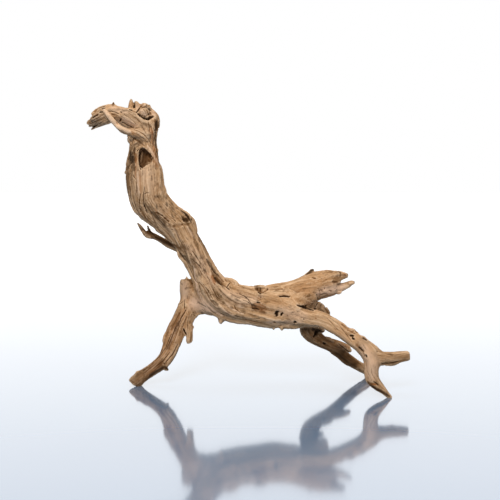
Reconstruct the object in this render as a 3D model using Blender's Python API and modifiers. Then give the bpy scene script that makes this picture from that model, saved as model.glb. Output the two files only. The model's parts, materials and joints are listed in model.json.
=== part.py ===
"""A branching piece of talawa wood: one grown, sand-worn stem and root that stands on three feet.

Sizes are in millimetres, and MM turns them to metres. +X is to the right of the front view, +Y away
from it and +Z up. The floor is at Z = 0, and the origin is on it, under the middle of the piece.

Each limb is a list of stations along its middle: x, y, z, half its width as the front view shows it,
and half its depth. The limbs overlap where they grow from each other, and are fused into one body.
"""

import math
from collections import namedtuple

import bmesh
import bpy
import numpy as np
from mathutils import Vector, noise
from mathutils.bvhtree import BVHTree

MM = 0.001
RING_STEP = 2.0
RING_POINTS = 40
CAP_RINGS = 6
VOXEL = 1.3
FORK_ROUNDS = 24
MOST_TRIANGLES = 10000

# How an end is finished: how far it domes, as a share of the half width, how ragged it is in mm, and
# how much the far edge of a slanting cut runs ahead, as a share of the width
BURIED = (0.5, 0.0, 0.0)
ROUNDED = (0.9, 0.0, 0.0)
SAWN = (0.06, 0.3, 0.0)
SAWN_ASLANT = (0.06, 0.3, -0.36)
BROKEN = (0.4, 3.0, 0.0)

# flute is how deep the long furrows are, as a share of the radius, and twist how far they wind, in
# degrees for each 100 mm of length
Limb = namedtuple("Limb", "stations start end flute twist", defaults=(BURIED, ROUNDED, 0.12, 25))

LIMBS = {
    "trunk": Limb([
        (-157, 15, 385, 19.2, 18.2), (-156, 14, 370, 19.9, 18.9), (-156, 11, 357, 20.4, 19.3),
        (-156, 7, 344, 22.8, 20.5), (-155, 4, 330, 24.7, 21.0), (-153, 3, 315, 26.6, 21.8),
        (-151, 3, 298, 26.9, 22.1), (-145, 5, 276, 26.5, 22.5), (-127, 8, 257, 23.2, 21.5),
        (-108, 11, 241, 22.3, 21.9), (-94, 13, 218, 19.9, 20.9), (-85, 14, 200, 20.2, 21.2),
        (-76, 14, 184, 19.7, 20.6), (-67, 13, 167, 20.6, 21.0), (-59, 11, 152, 23.9, 23.4),
        (-49, 9, 139, 28.0, 25.2), (-34, 7, 130, 28.0, 25.2), (-16, 5, 125, 28.3, 26.0),
        (3, 4, 123, 28.9, 26.0), (27, 4, 119, 29.8, 26.2), (51, 4, 117, 28.6, 24.3),
        (70, 2, 113, 23.2, 20.9),
    ], end=BURIED),
    "shoulder burl": Limb([
        (-104, 11, 242, 7.4, 9.6), (-95, 10, 249, 9.8, 12.7), (-89, 10, 246, 8.9, 12.4),
        (-84, 11, 234, 6.8, 10.2),
    ]),
    "front leg": Limb([
        (51, 3, 112, 19.3, 17.4), (71, -3, 109, 16.3, 16.3), (90, -10, 107, 13.0, 13.6),
        (106, -16, 105, 11.8, 12.3), (118, -23, 100, 11.1, 11.7), (130, -30, 94, 10.5, 11.0),
        (141, -36, 87, 10.2, 10.7), (151, -41, 80, 10.0, 10.5), (162, -46, 73, 11.1, 11.1),
        (171, -50, 63, 11.9, 11.4), (175, -53, 51, 11.1, 10.5), (174, -55, 38, 10.1, 9.6),
        (176, -56, 27, 9.8, 8.8), (183, -57, 18, 7.8, 6.6), (192, -59, 10, 5.2, 4.7),
        (198, -60, 4, 3.6, 3.6), (202, -60, 1, 3.0, 3.0),
    ]),
    "side stub": Limb([
        (173, -50, 60, 11.5, 10.4), (185, -49, 56, 11.0, 9.9), (196, -47, 55, 9.4, 8.4),
        (208, -44, 55, 8.7, 7.8), (220, -41, 56, 7.7, 6.9), (231, -38, 57, 7.0, 6.3),
    ], end=SAWN),
    "back leg": Limb([
        (92, 17, 101, 13.5, 13.5), (90, 27, 81, 13.9, 13.9), (97, 34, 70, 11.9, 11.9),
        (109, 39, 61, 9.6, 9.6), (125, 44, 52, 8.8, 8.8), (139, 48, 41, 8.5, 8.5),
        (152, 51, 30, 8.8, 8.8), (166, 55, 20, 7.8, 7.8), (179, 58, 12, 7.5, 7.5),
        (189, 60, 4, 6.1, 6.1),
    ]),
    "back stub": Limb([
        (121, 43, 59, 6.4, 6.4), (135, 41, 56, 5.7, 5.7), (144, 39, 53, 5.4, 5.4),
        (152, 37, 50, 4.6, 4.6),
    ], end=BROKEN),
    "knee": Limb([
        (80, 23, 122, 15.1, 15.1), (94, 33, 114, 13.4, 13.4), (107, 41, 106, 11.5, 11.5),
        (117, 47, 100, 7.1, 7.1),
    ], end=BROKEN),
    "upper stub": Limb([
        (27, 9, 131, 19.7, 15.7), (46, 15, 135, 20.1, 16.0), (65, 20, 139, 19.4, 15.1),
        (81, 24, 144, 20.5, 15.1), (96, 26, 148, 22.3, 15.2), (110, 27, 152, 20.6, 13.6),
        (122, 27, 154, 19.0, 11.8),
    ], end=BURIED),
    "upper tine": Limb([
        (108, 26, 161, 12.0, 9.6), (123, 25, 163, 10.1, 8.1), (135, 23, 165, 7.7, 6.1),
        (142, 22, 165, 5.7, 4.6), (145, 21, 166, 3.7, 3.4),
    ]),
    "lower tine": Limb([
        (106, 28, 141, 12.1, 9.7), (121, 30, 143, 9.4, 7.5), (133, 31, 145, 7.6, 6.0),
        (144, 32, 148, 5.7, 4.6), (152, 33, 152, 4.1, 3.7), (156, 33, 153, 3.0, 3.0),
    ]),
    "stub spur": Limb([
        (81, 27, 163, 2.6, 2.6), (88, 30, 168, 2.6, 2.6), (93, 31, 172, 2.7, 2.7),
        (94, 31, 173, 2.1, 2.1),
    ]),
    "left leg": Limb([
        (-95, 21, 159, 9.5, 8.5), (-95, 20, 145, 10.4, 9.8), (-93, 19, 130, 11.3, 11.3),
        (-94, 16, 117, 14.9, 14.1), (-100, 13, 102, 15.7, 13.4), (-109, 10, 88, 14.8, 12.6),
        (-114, 8, 73, 14.4, 12.7), (-119, 6, 57, 12.3, 11.7), (-125, 5, 44, 11.1, 10.9),
        (-134, 5, 34, 9.9, 9.9), (-148, 5, 24, 8.9, 8.9), (-161, 6, 15, 9.2, 8.7),
        (-173, 7, 3, 8.8, 8.4),
    ], start=SAWN, end=SAWN_ASLANT),
    "left leg web": Limb([
        (-93, 16, 120, 13.5, 10.8), (-76, 13, 121, 13.2, 10.5), (-58, 10, 125, 14.6, 11.7),
    ], end=BURIED),
    "left leg fold": Limb([
        (-94, 16, 144, 9.7, 8.8), (-81, 14, 135, 12.0, 10.8), (-67, 11, 125, 13.4, 12.1),
        (-54, 8, 119, 13.4, 12.1),
    ], end=BURIED),
    "left leg stub": Limb([
        (-97, 9, 100, 10.5, 8.4), (-92, 5, 87, 6.9, 6.2), (-90, 3, 77, 4.8, 4.8),
        (-89, 2, 70, 4.0, 4.0),
    ]),
    "left leg spur": Limb([(-131, -1, 36, 4.8, 4.8), (-126, -2, 31, 3.0, 3.0), (-124, -2, 29, 1.6, 1.6)]),
    "left leg chip": Limb([(-94, 19, 156, 3.9, 3.9), (-95, 19, 161, 2.2, 2.2), (-95, 19, 163, 1.5, 1.5)]),
    "stub bud": Limb([(-88, 5, 90, 3.0, 3.0), (-84, 5, 90, 1.8, 1.8)]),
    "belly bud": Limb([(-44, 3, 112, 5.4, 5.4), (-43, 2, 104, 3.7, 3.7), (-42, 2, 100, 2.8, 2.8)]),
    "neck bud": Limb([(-177, 7, 318, 3.8, 5.0), (-181, 7, 321, 2.3, 3.0)]),
    "twig": Limb([
        (-99, 19, 202, 5.4, 5.4), (-114, 26, 208, 5.4, 5.4), (-123, 29, 211, 5.1, 5.1),
        (-132, 32, 217, 4.7, 4.7), (-143, 34, 222, 3.9, 3.9), (-153, 36, 226, 3.8, 3.8),
        (-161, 38, 231, 2.6, 2.6), (-165, 39, 237, 2.0, 2.0), (-168, 40, 240, 1.4, 1.4),
    ]),
    "twig side": Limb([(-148, 35, 227, 2.3, 2.3), (-151, 34, 232, 1.8, 1.8), (-153, 33, 237, 1.4, 1.4)]),
    "head": Limb([
        (-146, 13, 379, 16.1, 14.5), (-158, 9, 392, 15.0, 12.8), (-171, 4, 399, 13.9, 11.2),
        (-185, 0, 403, 11.7, 9.1), (-200, -2, 406, 12.4, 9.3), (-211, -2, 403, 13.3, 10.0),
        (-220, -1, 401, 11.9, 8.9), (-224, -1, 400, 9.6, 7.6),
    ], end=BROKEN),
    "head floor": Limb([
        (-195, 3, 397, 5.1, 5.1), (-183, 4, 394, 7.3, 7.3), (-172, 6, 390, 8.7, 8.7),
        (-161, 9, 385, 10.2, 10.2),
    ]),
    "head layer": Limb([(-208, -5, 412, 4.9, 4.4), (-217, -6, 410, 4.3, 3.9), (-222, -6, 408, 3.6, 3.2)]),
    "head plate": Limb([(-213, -8, 406, 4.0, 3.2), (-221, -8, 402, 3.3, 2.6), (-225, -7, 400, 2.2, 1.7)]),
    "long splinter": Limb([
        (-216, -2, 398, 5.5, 5.5), (-224, -1, 396, 4.6, 4.6), (-230, -1, 394, 3.6, 3.6),
        (-233, -1, 392, 2.5, 2.5),
    ]),
    "middle splinter": Limb([
        (-212, 4, 396, 4.9, 4.9), (-224, 5, 392, 3.3, 3.3), (-231, 5, 389, 2.5, 2.5),
        (-235, 5, 388, 1.6, 1.6),
    ]),
    "low splinter": Limb([
        (-208, 9, 397, 5.8, 5.8), (-218, 10, 392, 4.2, 4.2), (-224, 10, 388, 2.9, 2.9),
        (-229, 10, 385, 2.0, 2.0), (-231, 10, 383, 1.4, 1.4),
    ]),
    "head bud": Limb([(-196, -2, 415, 2.7, 2.7), (-197, -2, 419, 1.8, 1.8), (-198, -2, 421, 1.4, 1.4)]),
    "strand": Limb([
        (-211, -10, 410, 2.6, 2.6), (-205, -13, 404, 3.2, 3.2), (-199, -14, 398, 3.7, 3.7),
        (-193, -13, 391, 3.9, 3.9), (-187, -12, 385, 4.2, 4.2), (-179, -11, 381, 4.6, 4.6),
        (-169, -9, 378, 5.3, 5.3), (-159, -7, 377, 6.2, 6.2), (-148, -4, 373, 7.2, 7.2),
    ], end=BURIED),
    "knob": Limb([
        (-150, 15, 376, 16.9, 15.2), (-150, 17, 391, 15.6, 14.0), (-153, 19, 402, 12.6, 11.4),
        (-154, 20, 410, 9.7, 8.7),
    ], end=BROKEN),
    "knob ear": Limb([
        (-146, 13, 363, 5.9, 9.4), (-144, 15, 378, 5.7, 10.9), (-140, 17, 390, 6.7, 13.5),
        (-140, 18, 400, 6.5, 12.9), (-143, 19, 406, 5.0, 8.0),
    ]),
    "knob lump": Limb([(-152, 9, 400, 7.0, 8.4), (-154, 9, 407, 7.0, 8.4), (-154, 10, 411, 5.7, 6.8)]),
    "knob tooth": Limb([(-162, 9, 407, 4.7, 6.1), (-164, 10, 415, 4.4, 5.7), (-165, 11, 420, 2.9, 3.8)]),
    "knob spike": Limb([
        (-171, 9, 405, 5.0, 5.9), (-173, 10, 414, 4.1, 4.9), (-174, 11, 421, 2.9, 3.8),
        (-172, 12, 424, 2.2, 2.8),
    ]),
    "knob bud": Limb([(-152, 16, 412, 4.1, 4.9), (-152, 16, 419, 2.6, 3.2)]),
    "knob knot": Limb([(-147, 17, 407, 4.2, 4.7), (-147, 17, 413, 3.2, 3.5)]),
    "knob chip": Limb([(-159, 16, 410, 4.7, 5.2), (-158, 16, 417, 3.1, 3.4)]),
}

# A cord of wood stands out of the skin of a limb and winds along it. start and end are shares of the
# limb's length. The angle is 0 at the right or upper edge of the front view, -90 at the front and 90
# at the back
Cord = namedtuple("Cord", "limb start end from_angle to_angle half_width")

CORDS = [
    Cord("trunk", 0.02, 0.30, -30, -42, 5.5),
    Cord("trunk", 0.02, 0.34, -150, -172, 6.5),
    Cord("trunk", 0.16, 0.52, -70, -128, 6.0),
    Cord("trunk", 0.40, 0.86, -35, -72, 7.5),
    Cord("trunk", 0.48, 0.97, -100, -118, 7.5),
    Cord("trunk", 0.52, 0.94, -150, -146, 7.0),
    Cord("trunk", 0.05, 0.45, 35, 80, 7.0),
    Cord("trunk", 0.20, 0.66, 120, 150, 7.0),
    Cord("trunk", 0.50, 0.96, 60, 95, 8.0),
    Cord("front leg", 0.10, 0.62, -60, -20, 3.6),
    Cord("front leg", 0.30, 0.85, -130, -100, 3.6),
    Cord("back leg", 0.15, 0.85, -50, -120, 3.2),
    Cord("left leg", 0.12, 0.62, -110, -60, 4.6),
    Cord("left leg", 0.30, 0.92, -20, -70, 3.6),
    Cord("left leg", 0.25, 0.90, 100, 60, 4.6),
    Cord("upper stub", 0.20, 0.95, -70, -120, 5.0),
    Cord("upper stub", 0.30, 0.98, 70, 110, 5.0),
    Cord("head", 0.10, 0.80, -60, -95, 3.6),
]

# A hollow is pressed into the wood from the front: x, z of its middle, half its length and half its
# width, the turn of its length from upright in degrees, and its depth
Hollow = namedtuple("Hollow", "x z half_length half_width turn depth")

HOLLOWS = [
    Hollow(-154, 341, 16, 11.5, -12, 17),
    Hollow(-171, 339, 9, 5, -5, 4),
    Hollow(-191, 391, 5, 2.4, -30, 7),
    Hollow(86, 119, 3.2, 13, 12, 9),
    Hollow(15, 138, 4.5, 5.5, 40, 6),
    Hollow(100, 79, 4.5, 4.5, 0, 6),
]


def close_rows(stations):
    """The stations at RING_STEP, on a smooth curve through the given ones."""
    given = np.array(stations, float)
    given = np.vstack([2 * given[0] - given[1], given, 2 * given[-1] - given[-2]])
    rows = []
    for a, b, c, d in zip(given, given[1:], given[2:], given[3:]):
        count = max(1, round(np.linalg.norm((c - b)[:3]) / RING_STEP))
        for t in np.arange(count) / count:
            bend = (2 * a - 5 * b + 4 * c - d) * t**2 + (3 * b - a - 3 * c + d) * t**3
            rows.append(b + 0.5 * ((c - a) * t + bend))
    rows.append(given[-2])
    return np.array(rows)


def directions(rows):
    """The way along the limb, across it in the front view and through it, at each row."""
    along = np.gradient(rows[:, :3], axis=0)
    along /= np.linalg.norm(along, axis=1)[:, None]
    across = np.cross(along, (0, 1, 0))
    across /= np.linalg.norm(across, axis=1)[:, None]
    return along, across, np.cross(across, along)


def cord_limb(cord):
    """The cord as a limb of its own, half sunk in the limb that it winds along."""
    rows = close_rows(LIMBS[cord.limb].stations)
    along, across, deep = directions(rows)
    picked = range(int(cord.start * (len(rows) - 1)), int(cord.end * (len(rows) - 1)) + 1, 4)
    stations = []
    for i in picked:
        t = (i - picked[0]) / (picked[-1] - picked[0])
        angle = math.radians(cord.from_angle + t * (cord.to_angle - cord.from_angle))
        width = cord.half_width * (0.35 + 0.65 * math.sin(math.pi * t) ** 0.6)
        reach = 1 - 0.62 * width / rows[i, 3]
        spot = rows[i, :3] + reach * rows[i, 3] * math.cos(angle) * across[i]
        spot = spot + reach * rows[i, 4] * math.sin(angle) * deep[i]
        stations.append((*spot, width, width))
    return Limb(stations)


def furrow(limb, seed, distance, angle):
    """The radius as a share of the plain one, where a long furrow or ridge winds past."""
    turned = angle + math.radians(limb.twist) * distance / 100
    wide = Vector((distance / 70, 1.1 * math.cos(turned), 1.1 * math.sin(turned) + 9 * seed))
    fine = Vector((distance / 45, 2.6 * math.cos(turned), 2.6 * math.sin(turned) + 7 * seed))
    return 1 + limb.flute * (noise.noise(wide) + 0.7 * noise.noise(fine))


def loft(limb, seed):
    """The limb's points, ring by ring and with its two ends closed, and its faces."""
    rows = close_rows(limb.stations)
    along, across, deep = directions(rows)
    middles = rows[:, :3]
    run = np.concatenate([[0], np.cumsum(np.linalg.norm(np.diff(middles, axis=0), axis=1))])
    angles = [math.tau * k / RING_POINTS for k in range(RING_POINTS)]

    def ring(i, share=1.0, lift=0.0, ragged=0.0, slant=0.0):
        points = []
        for angle in angles:
            radius = share * furrow(limb, seed, run[i], angle)
            aside = rows[i, 3] * radius * math.cos(angle)
            behind = rows[i, 4] * radius * math.sin(angle)
            spot = middles[i] + aside * across[i] + behind * deep[i]
            jag = ragged * noise.noise(Vector(spot / 4.0))
            points.append(spot + (lift + jag + slant * aside) * along[i])
        return points

    rings = [ring(i) for i in range(len(rows))]
    last = len(rows) - 1
    for i, (dome, ragged, slant), way in ((0, limb.start, -1), (last, limb.end, 1)):
        cap = []
        for k in range(CAP_RINGS):
            share = math.cos(math.pi / 2 * (k + 0.5) / CAP_RINGS)
            lift = way * dome * rows[i, 3] * math.sqrt(1 - share**2)
            cap.append(ring(i, share, lift, ragged, slant))
        if way < 0:
            rings = cap[::-1] + rings
        elif slant:
            rings = rings[:-4] + [ring(i, 1, 0, ragged, slant)] + cap
        else:
            rings = rings + cap
    points = [p for r in rings for p in r]
    faces = []
    for j in range(len(rings) - 1):
        for k in range(RING_POINTS):
            here, after = j * RING_POINTS + k, j * RING_POINTS + (k + 1) % RING_POINTS
            faces.append((here, after, after + RING_POINTS, here + RING_POINTS))
    faces.append(tuple(range(RING_POINTS))[::-1])
    faces.append(tuple(range(len(points) - RING_POINTS, len(points))))
    return points, faces


def overlapping_limbs():
    """All the limbs and cords as one mesh, each still a closed shell of its own."""
    points, faces = [], []
    for seed, limb in enumerate([*LIMBS.values(), *map(cord_limb, CORDS)]):
        new_points, new_faces = loft(limb, seed)
        faces += [tuple(v + len(points) for v in face) for face in new_faces]
        points += new_points
    mesh = bpy.data.meshes.new("limbs")
    mesh.from_pydata([tuple(MM * c for c in p) for p in points], [], faces)
    return mesh


def applied(obj):
    """The object's mesh with its modifiers applied, which are then removed."""
    graph = bpy.context.evaluated_depsgraph_get()
    made = bpy.data.meshes.new_from_object(obj.evaluated_get(graph))
    obj.modifiers.clear()
    obj.data = made
    return made


def fuse(obj):
    """Makes one skin of the shells that overlap, with even faces of VOXEL."""
    remesh = obj.modifiers.new("Fuse", "REMESH")
    remesh.mode = "VOXEL"
    remesh.voxel_size = VOXEL * MM
    return applied(obj)


def places_of(mesh):
    places = np.empty(len(mesh.vertices) * 3)
    mesh.vertices.foreach_get("co", places)
    return places.reshape(-1, 3)


def normals_of(mesh):
    normals = np.empty(len(mesh.vertices) * 3)
    mesh.vertex_normals.foreach_get("vector", normals)
    return normals.reshape(-1, 3)


def fill_forks(mesh, rounds, share):
    """Fills the sharp valleys where limbs meet, as wood grows, and leaves the rest as it is."""
    ends = np.empty(len(mesh.edges) * 2, int)
    mesh.edges.foreach_get("vertices", ends)
    first, second = ends.reshape(-1, 2).T
    places = places_of(mesh)
    count = np.bincount(ends, minlength=len(places))[:, None]
    for _ in range(rounds):
        total = np.zeros_like(places)
        for axis in range(3):
            total[:, axis] += np.bincount(first, places[second, axis], len(places))
            total[:, axis] += np.bincount(second, places[first, axis], len(places))
        normals = normals_of(mesh)
        rise = ((total / count - places) * normals).sum(axis=1)
        places += share * np.clip(rise, 0, None)[:, None] * normals
        mesh.vertices.foreach_set("co", places.ravel())
        mesh.update()


def press_hollows(mesh):
    """Presses each hollow in from the front, where a line of sight first meets the wood."""
    edit = bmesh.new()
    edit.from_mesh(mesh)
    tree = BVHTree.FromBMesh(edit)
    edit.free()
    places = places_of(mesh)
    for hollow in HOLLOWS:
        met = tree.ray_cast(Vector((hollow.x * MM, -1, hollow.z * MM)), Vector((0, 1, 0)))[0]
        turn = math.radians(hollow.turn)
        x = places[:, 0] / MM - hollow.x
        z = places[:, 2] / MM - hollow.z
        along = z * math.cos(turn) + x * math.sin(turn)
        aside = x * math.cos(turn) - z * math.sin(turn)
        reach = np.hypot(along / hollow.half_length, aside / hollow.half_width)
        near = (reach < 1) & (places[:, 1] - met.y < 0.4 * hollow.depth * MM)
        places[near, 1] += hollow.depth * MM * (1 - reach[near] ** 3)
    mesh.vertices.foreach_set("co", places.ravel())
    mesh.update()


def thin_out(obj):
    """Lowers the triangle count, keeping most triangles where the wood bends most."""
    thin = obj.modifiers.new("Thin", "DECIMATE")
    thin.ratio = MOST_TRIANGLES / (2 * len(obj.data.polygons))
    thin.use_collapse_triangulate = True
    return applied(obj)


def cut_feet(mesh):
    """Cuts off what is under the floor, so that each foot stands on a small flat spot."""
    edit = bmesh.new()
    edit.from_mesh(mesh)
    for vertex in edit.verts:
        if abs(vertex.co.z) < 0.3 * MM:
            vertex.co.z = 0
    everything = edit.verts[:] + edit.edges[:] + edit.faces[:]
    down = (0, 0, -1)
    bmesh.ops.bisect_plane(edit, geom=everything, plane_co=(0, 0, 0), plane_no=down, clear_outer=True)
    bmesh.ops.holes_fill(edit, edges=[e for e in edit.edges if e.is_boundary], sides=0)
    bmesh.ops.triangulate(edit, faces=edit.faces[:])
    edit.to_mesh(mesh)
    edit.free()


def driftwood_material():
    wood = bpy.data.materials.new("sand-worn wood")
    wood.use_nodes = True
    shader = wood.node_tree.nodes["Principled BSDF"]
    shader.inputs["Base Color"].default_value = (0.42, 0.26, 0.15, 1)
    shader.inputs["Roughness"].default_value = 0.8
    shader.inputs["Metallic"].default_value = 0
    return wood


def build():
    for obj in list(bpy.data.objects):
        bpy.data.objects.remove(obj)
    wood = bpy.data.objects.new("driftwood", overlapping_limbs())
    collection = bpy.data.collections.new("talawa wood")
    bpy.context.scene.collection.children.link(collection)
    collection.objects.link(wood)
    fill_forks(fuse(wood), FORK_ROUNDS, share=0.5)
    press_hollows(wood.data)
    fill_forks(fuse(wood), rounds=2, share=0.5)
    cut_feet(thin_out(wood))
    wood.data.materials.clear()
    wood.data.materials.append(driftwood_material())
    wood.data.shade_smooth()
    wood.data.set_sharp_from_angle(angle=math.radians(50))


build()
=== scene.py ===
"""The looks of a branching piece of talawa wood: its fine shape, its grain and the colours of its surface.

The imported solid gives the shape. A finer skin is laid over it, with the splinters that are too thin for
the solid. The grain then runs along every limb of the skin as ridges, furrows and fissures, and each
crack, hole, rib and stain that the photograph shows is cut or coloured where the camera sees it.
"""

import json
import math

import bmesh
import bpy
import numpy as np
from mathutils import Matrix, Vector, noise
from mathutils.bvhtree import BVHTree

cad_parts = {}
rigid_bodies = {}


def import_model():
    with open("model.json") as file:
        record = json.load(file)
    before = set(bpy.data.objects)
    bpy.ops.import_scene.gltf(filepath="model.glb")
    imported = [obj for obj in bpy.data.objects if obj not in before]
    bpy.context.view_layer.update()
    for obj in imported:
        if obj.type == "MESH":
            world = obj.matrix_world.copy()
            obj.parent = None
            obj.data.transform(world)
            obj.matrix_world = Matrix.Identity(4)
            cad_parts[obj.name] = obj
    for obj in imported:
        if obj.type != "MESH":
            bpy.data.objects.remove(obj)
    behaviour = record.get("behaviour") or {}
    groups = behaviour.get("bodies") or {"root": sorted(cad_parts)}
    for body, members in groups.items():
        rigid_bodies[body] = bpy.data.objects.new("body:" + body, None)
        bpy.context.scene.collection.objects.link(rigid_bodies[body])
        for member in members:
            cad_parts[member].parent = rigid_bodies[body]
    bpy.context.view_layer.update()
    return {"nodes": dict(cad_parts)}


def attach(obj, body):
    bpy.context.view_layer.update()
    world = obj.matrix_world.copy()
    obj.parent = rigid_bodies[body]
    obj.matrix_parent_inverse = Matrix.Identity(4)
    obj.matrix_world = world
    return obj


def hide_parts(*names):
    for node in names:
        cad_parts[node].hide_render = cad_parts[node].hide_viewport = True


for leftover in list(bpy.data.objects):
    bpy.data.objects.remove(leftover)
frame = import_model()

MM = 0.001

# The camera looks at the middle of the photograph, slightly downwards
LOOK_AT = Vector((0, 0.007, 0.2057))
CAMERA_DISTANCE = 1.439
CAMERA_TILT = math.radians(7)
LENS_MM = 70
SENSOR_MM = 36
FRAME_SIDE = 500
FOCAL_PX = LENS_MM / SENSOR_MM * FRAME_SIDE
RIGHT = Vector((1, 0, 0))
AHEAD = Vector((0, math.cos(CAMERA_TILT), -math.sin(CAMERA_TILT)))
UP = Vector((0, math.sin(CAMERA_TILT), math.cos(CAMERA_TILT)))
EYE = LOOK_AT - CAMERA_DISTANCE * AHEAD

# The skin: the size of its cells in mm, how often it is smoothed, and what that takes off it, in mm
VOXEL = 0.95
SKIN_ROUNDS = 2
SHRINKAGE = 0.25
MOST_TRIANGLES = 194000
# Edges of the solid that bend more than this keep this much of their sharpness
SHARP_ANGLE = math.radians(50)
SHARP_CREASE = 0.8
# The feet are stretched back to the floor by this much, from this height down, in mm
FOOT_STRETCH = 0.8
FOOT_HEIGHT = 5

# The grain runs along these paths, through the middle of each limb: x, y, z and half the width, in mm.
# A path that grows from another one takes up its count of length and its place across it there
GRAIN_PATHS = {
    "trunk": ("trunk", 1, [
        (-157, 15, 392, 18), (-156, 11, 357, 20), (-155, 4, 330, 24), (-151, 3, 298, 26),
        (-145, 5, 276, 26), (-127, 8, 257, 23), (-108, 11, 241, 22), (-94, 13, 218, 20), (-76, 14, 184, 20),
        (-59, 11, 152, 23), (-34, 7, 130, 28), (3, 4, 123, 29), (51, 3, 115, 24), (90, -10, 107, 13),
        (118, -23, 100, 11), (141, -36, 87, 10), (162, -46, 73, 11), (175, -53, 51, 11),
        (176, -56, 27, 9), (192, -59, 10, 5), (202, -60, 1, 3),
    ]),
    "side stub": ("trunk", 1, [(168, -50, 66, 10), (185, -49, 56, 11), (208, -44, 55, 9), (234, -37, 57, 7)]),
    "upper stub": ("trunk", 1, [
        (20, 8, 128, 20), (46, 15, 135, 20), (81, 24, 144, 20), (110, 27, 152, 18), (156, 28, 160, 10),
    ]),
    "back leg": ("trunk", 1, [
        (84, 12, 108, 14), (90, 27, 81, 14), (109, 39, 61, 10), (139, 48, 41, 8), (166, 55, 20, 8),
        (190, 60, 2, 6),
    ]),
    "knee": ("trunk", 1, [(76, 19, 124, 14), (94, 33, 114, 13), (118, 48, 99, 8)]),
    "left leg": ("trunk", 1, [
        (-95, 21, 165, 9), (-95, 20, 145, 10), (-94, 16, 117, 15), (-109, 10, 88, 15), (-119, 6, 57, 12),
        (-134, 5, 34, 10), (-161, 6, 15, 9), (-176, 7, 1, 9),
    ]),
    "leg fold": ("left leg", -1, [(-93, 16, 122, 12), (-76, 13, 121, 12), (-58, 10, 123, 14)]),
    "leg stub": ("left leg", 1, [(-98, 10, 104, 9), (-92, 5, 87, 7), (-89, 2, 68, 4)]),
    "twig": ("trunk", -1, [(-99, 19, 202, 5), (-123, 29, 211, 5), (-143, 34, 222, 4), (-168, 40, 240, 2)]),
    "head": ("trunk", -1, [
        (-146, 13, 379, 16), (-158, 9, 392, 15), (-171, 4, 399, 14), (-185, 0, 403, 12), (-211, -2, 403, 13),
        (-234, 1, 392, 8),
    ]),
    "strand": ("head", -1, [
        (-150, -5, 374, 7), (-169, -9, 378, 5), (-187, -12, 385, 4), (-199, -14, 398, 4), (-212, -10, 411, 3),
    ]),
    "knob": ("trunk", -1, [(-150, 15, 376, 17), (-150, 17, 391, 16), (-154, 19, 418, 11)]),
}
PATH_STEP = 3.0
# How far the grain winds round the limbs, in radians for each mm
TWIST = math.radians(-25) / 100
# How soon the grain of one limb gives way to that of the next where they join
BLEND_SHARPNESS = 6.0
# How wholly a place has to belong to one limb for its cut lines to start and to be whole
CLEAR_OF_FORKS = (0.6, 0.95)
# How far, in mm, the grain wanders from the even run of its paths, and over what length it does so
WANDER = ((5.0, 2.2, 2.2), 24), ((1.5, 0.7, 0.7), 8)
# Without a seed, noise_vector takes its places in the noise from the clock
WANDER_SEED = 11

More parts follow.
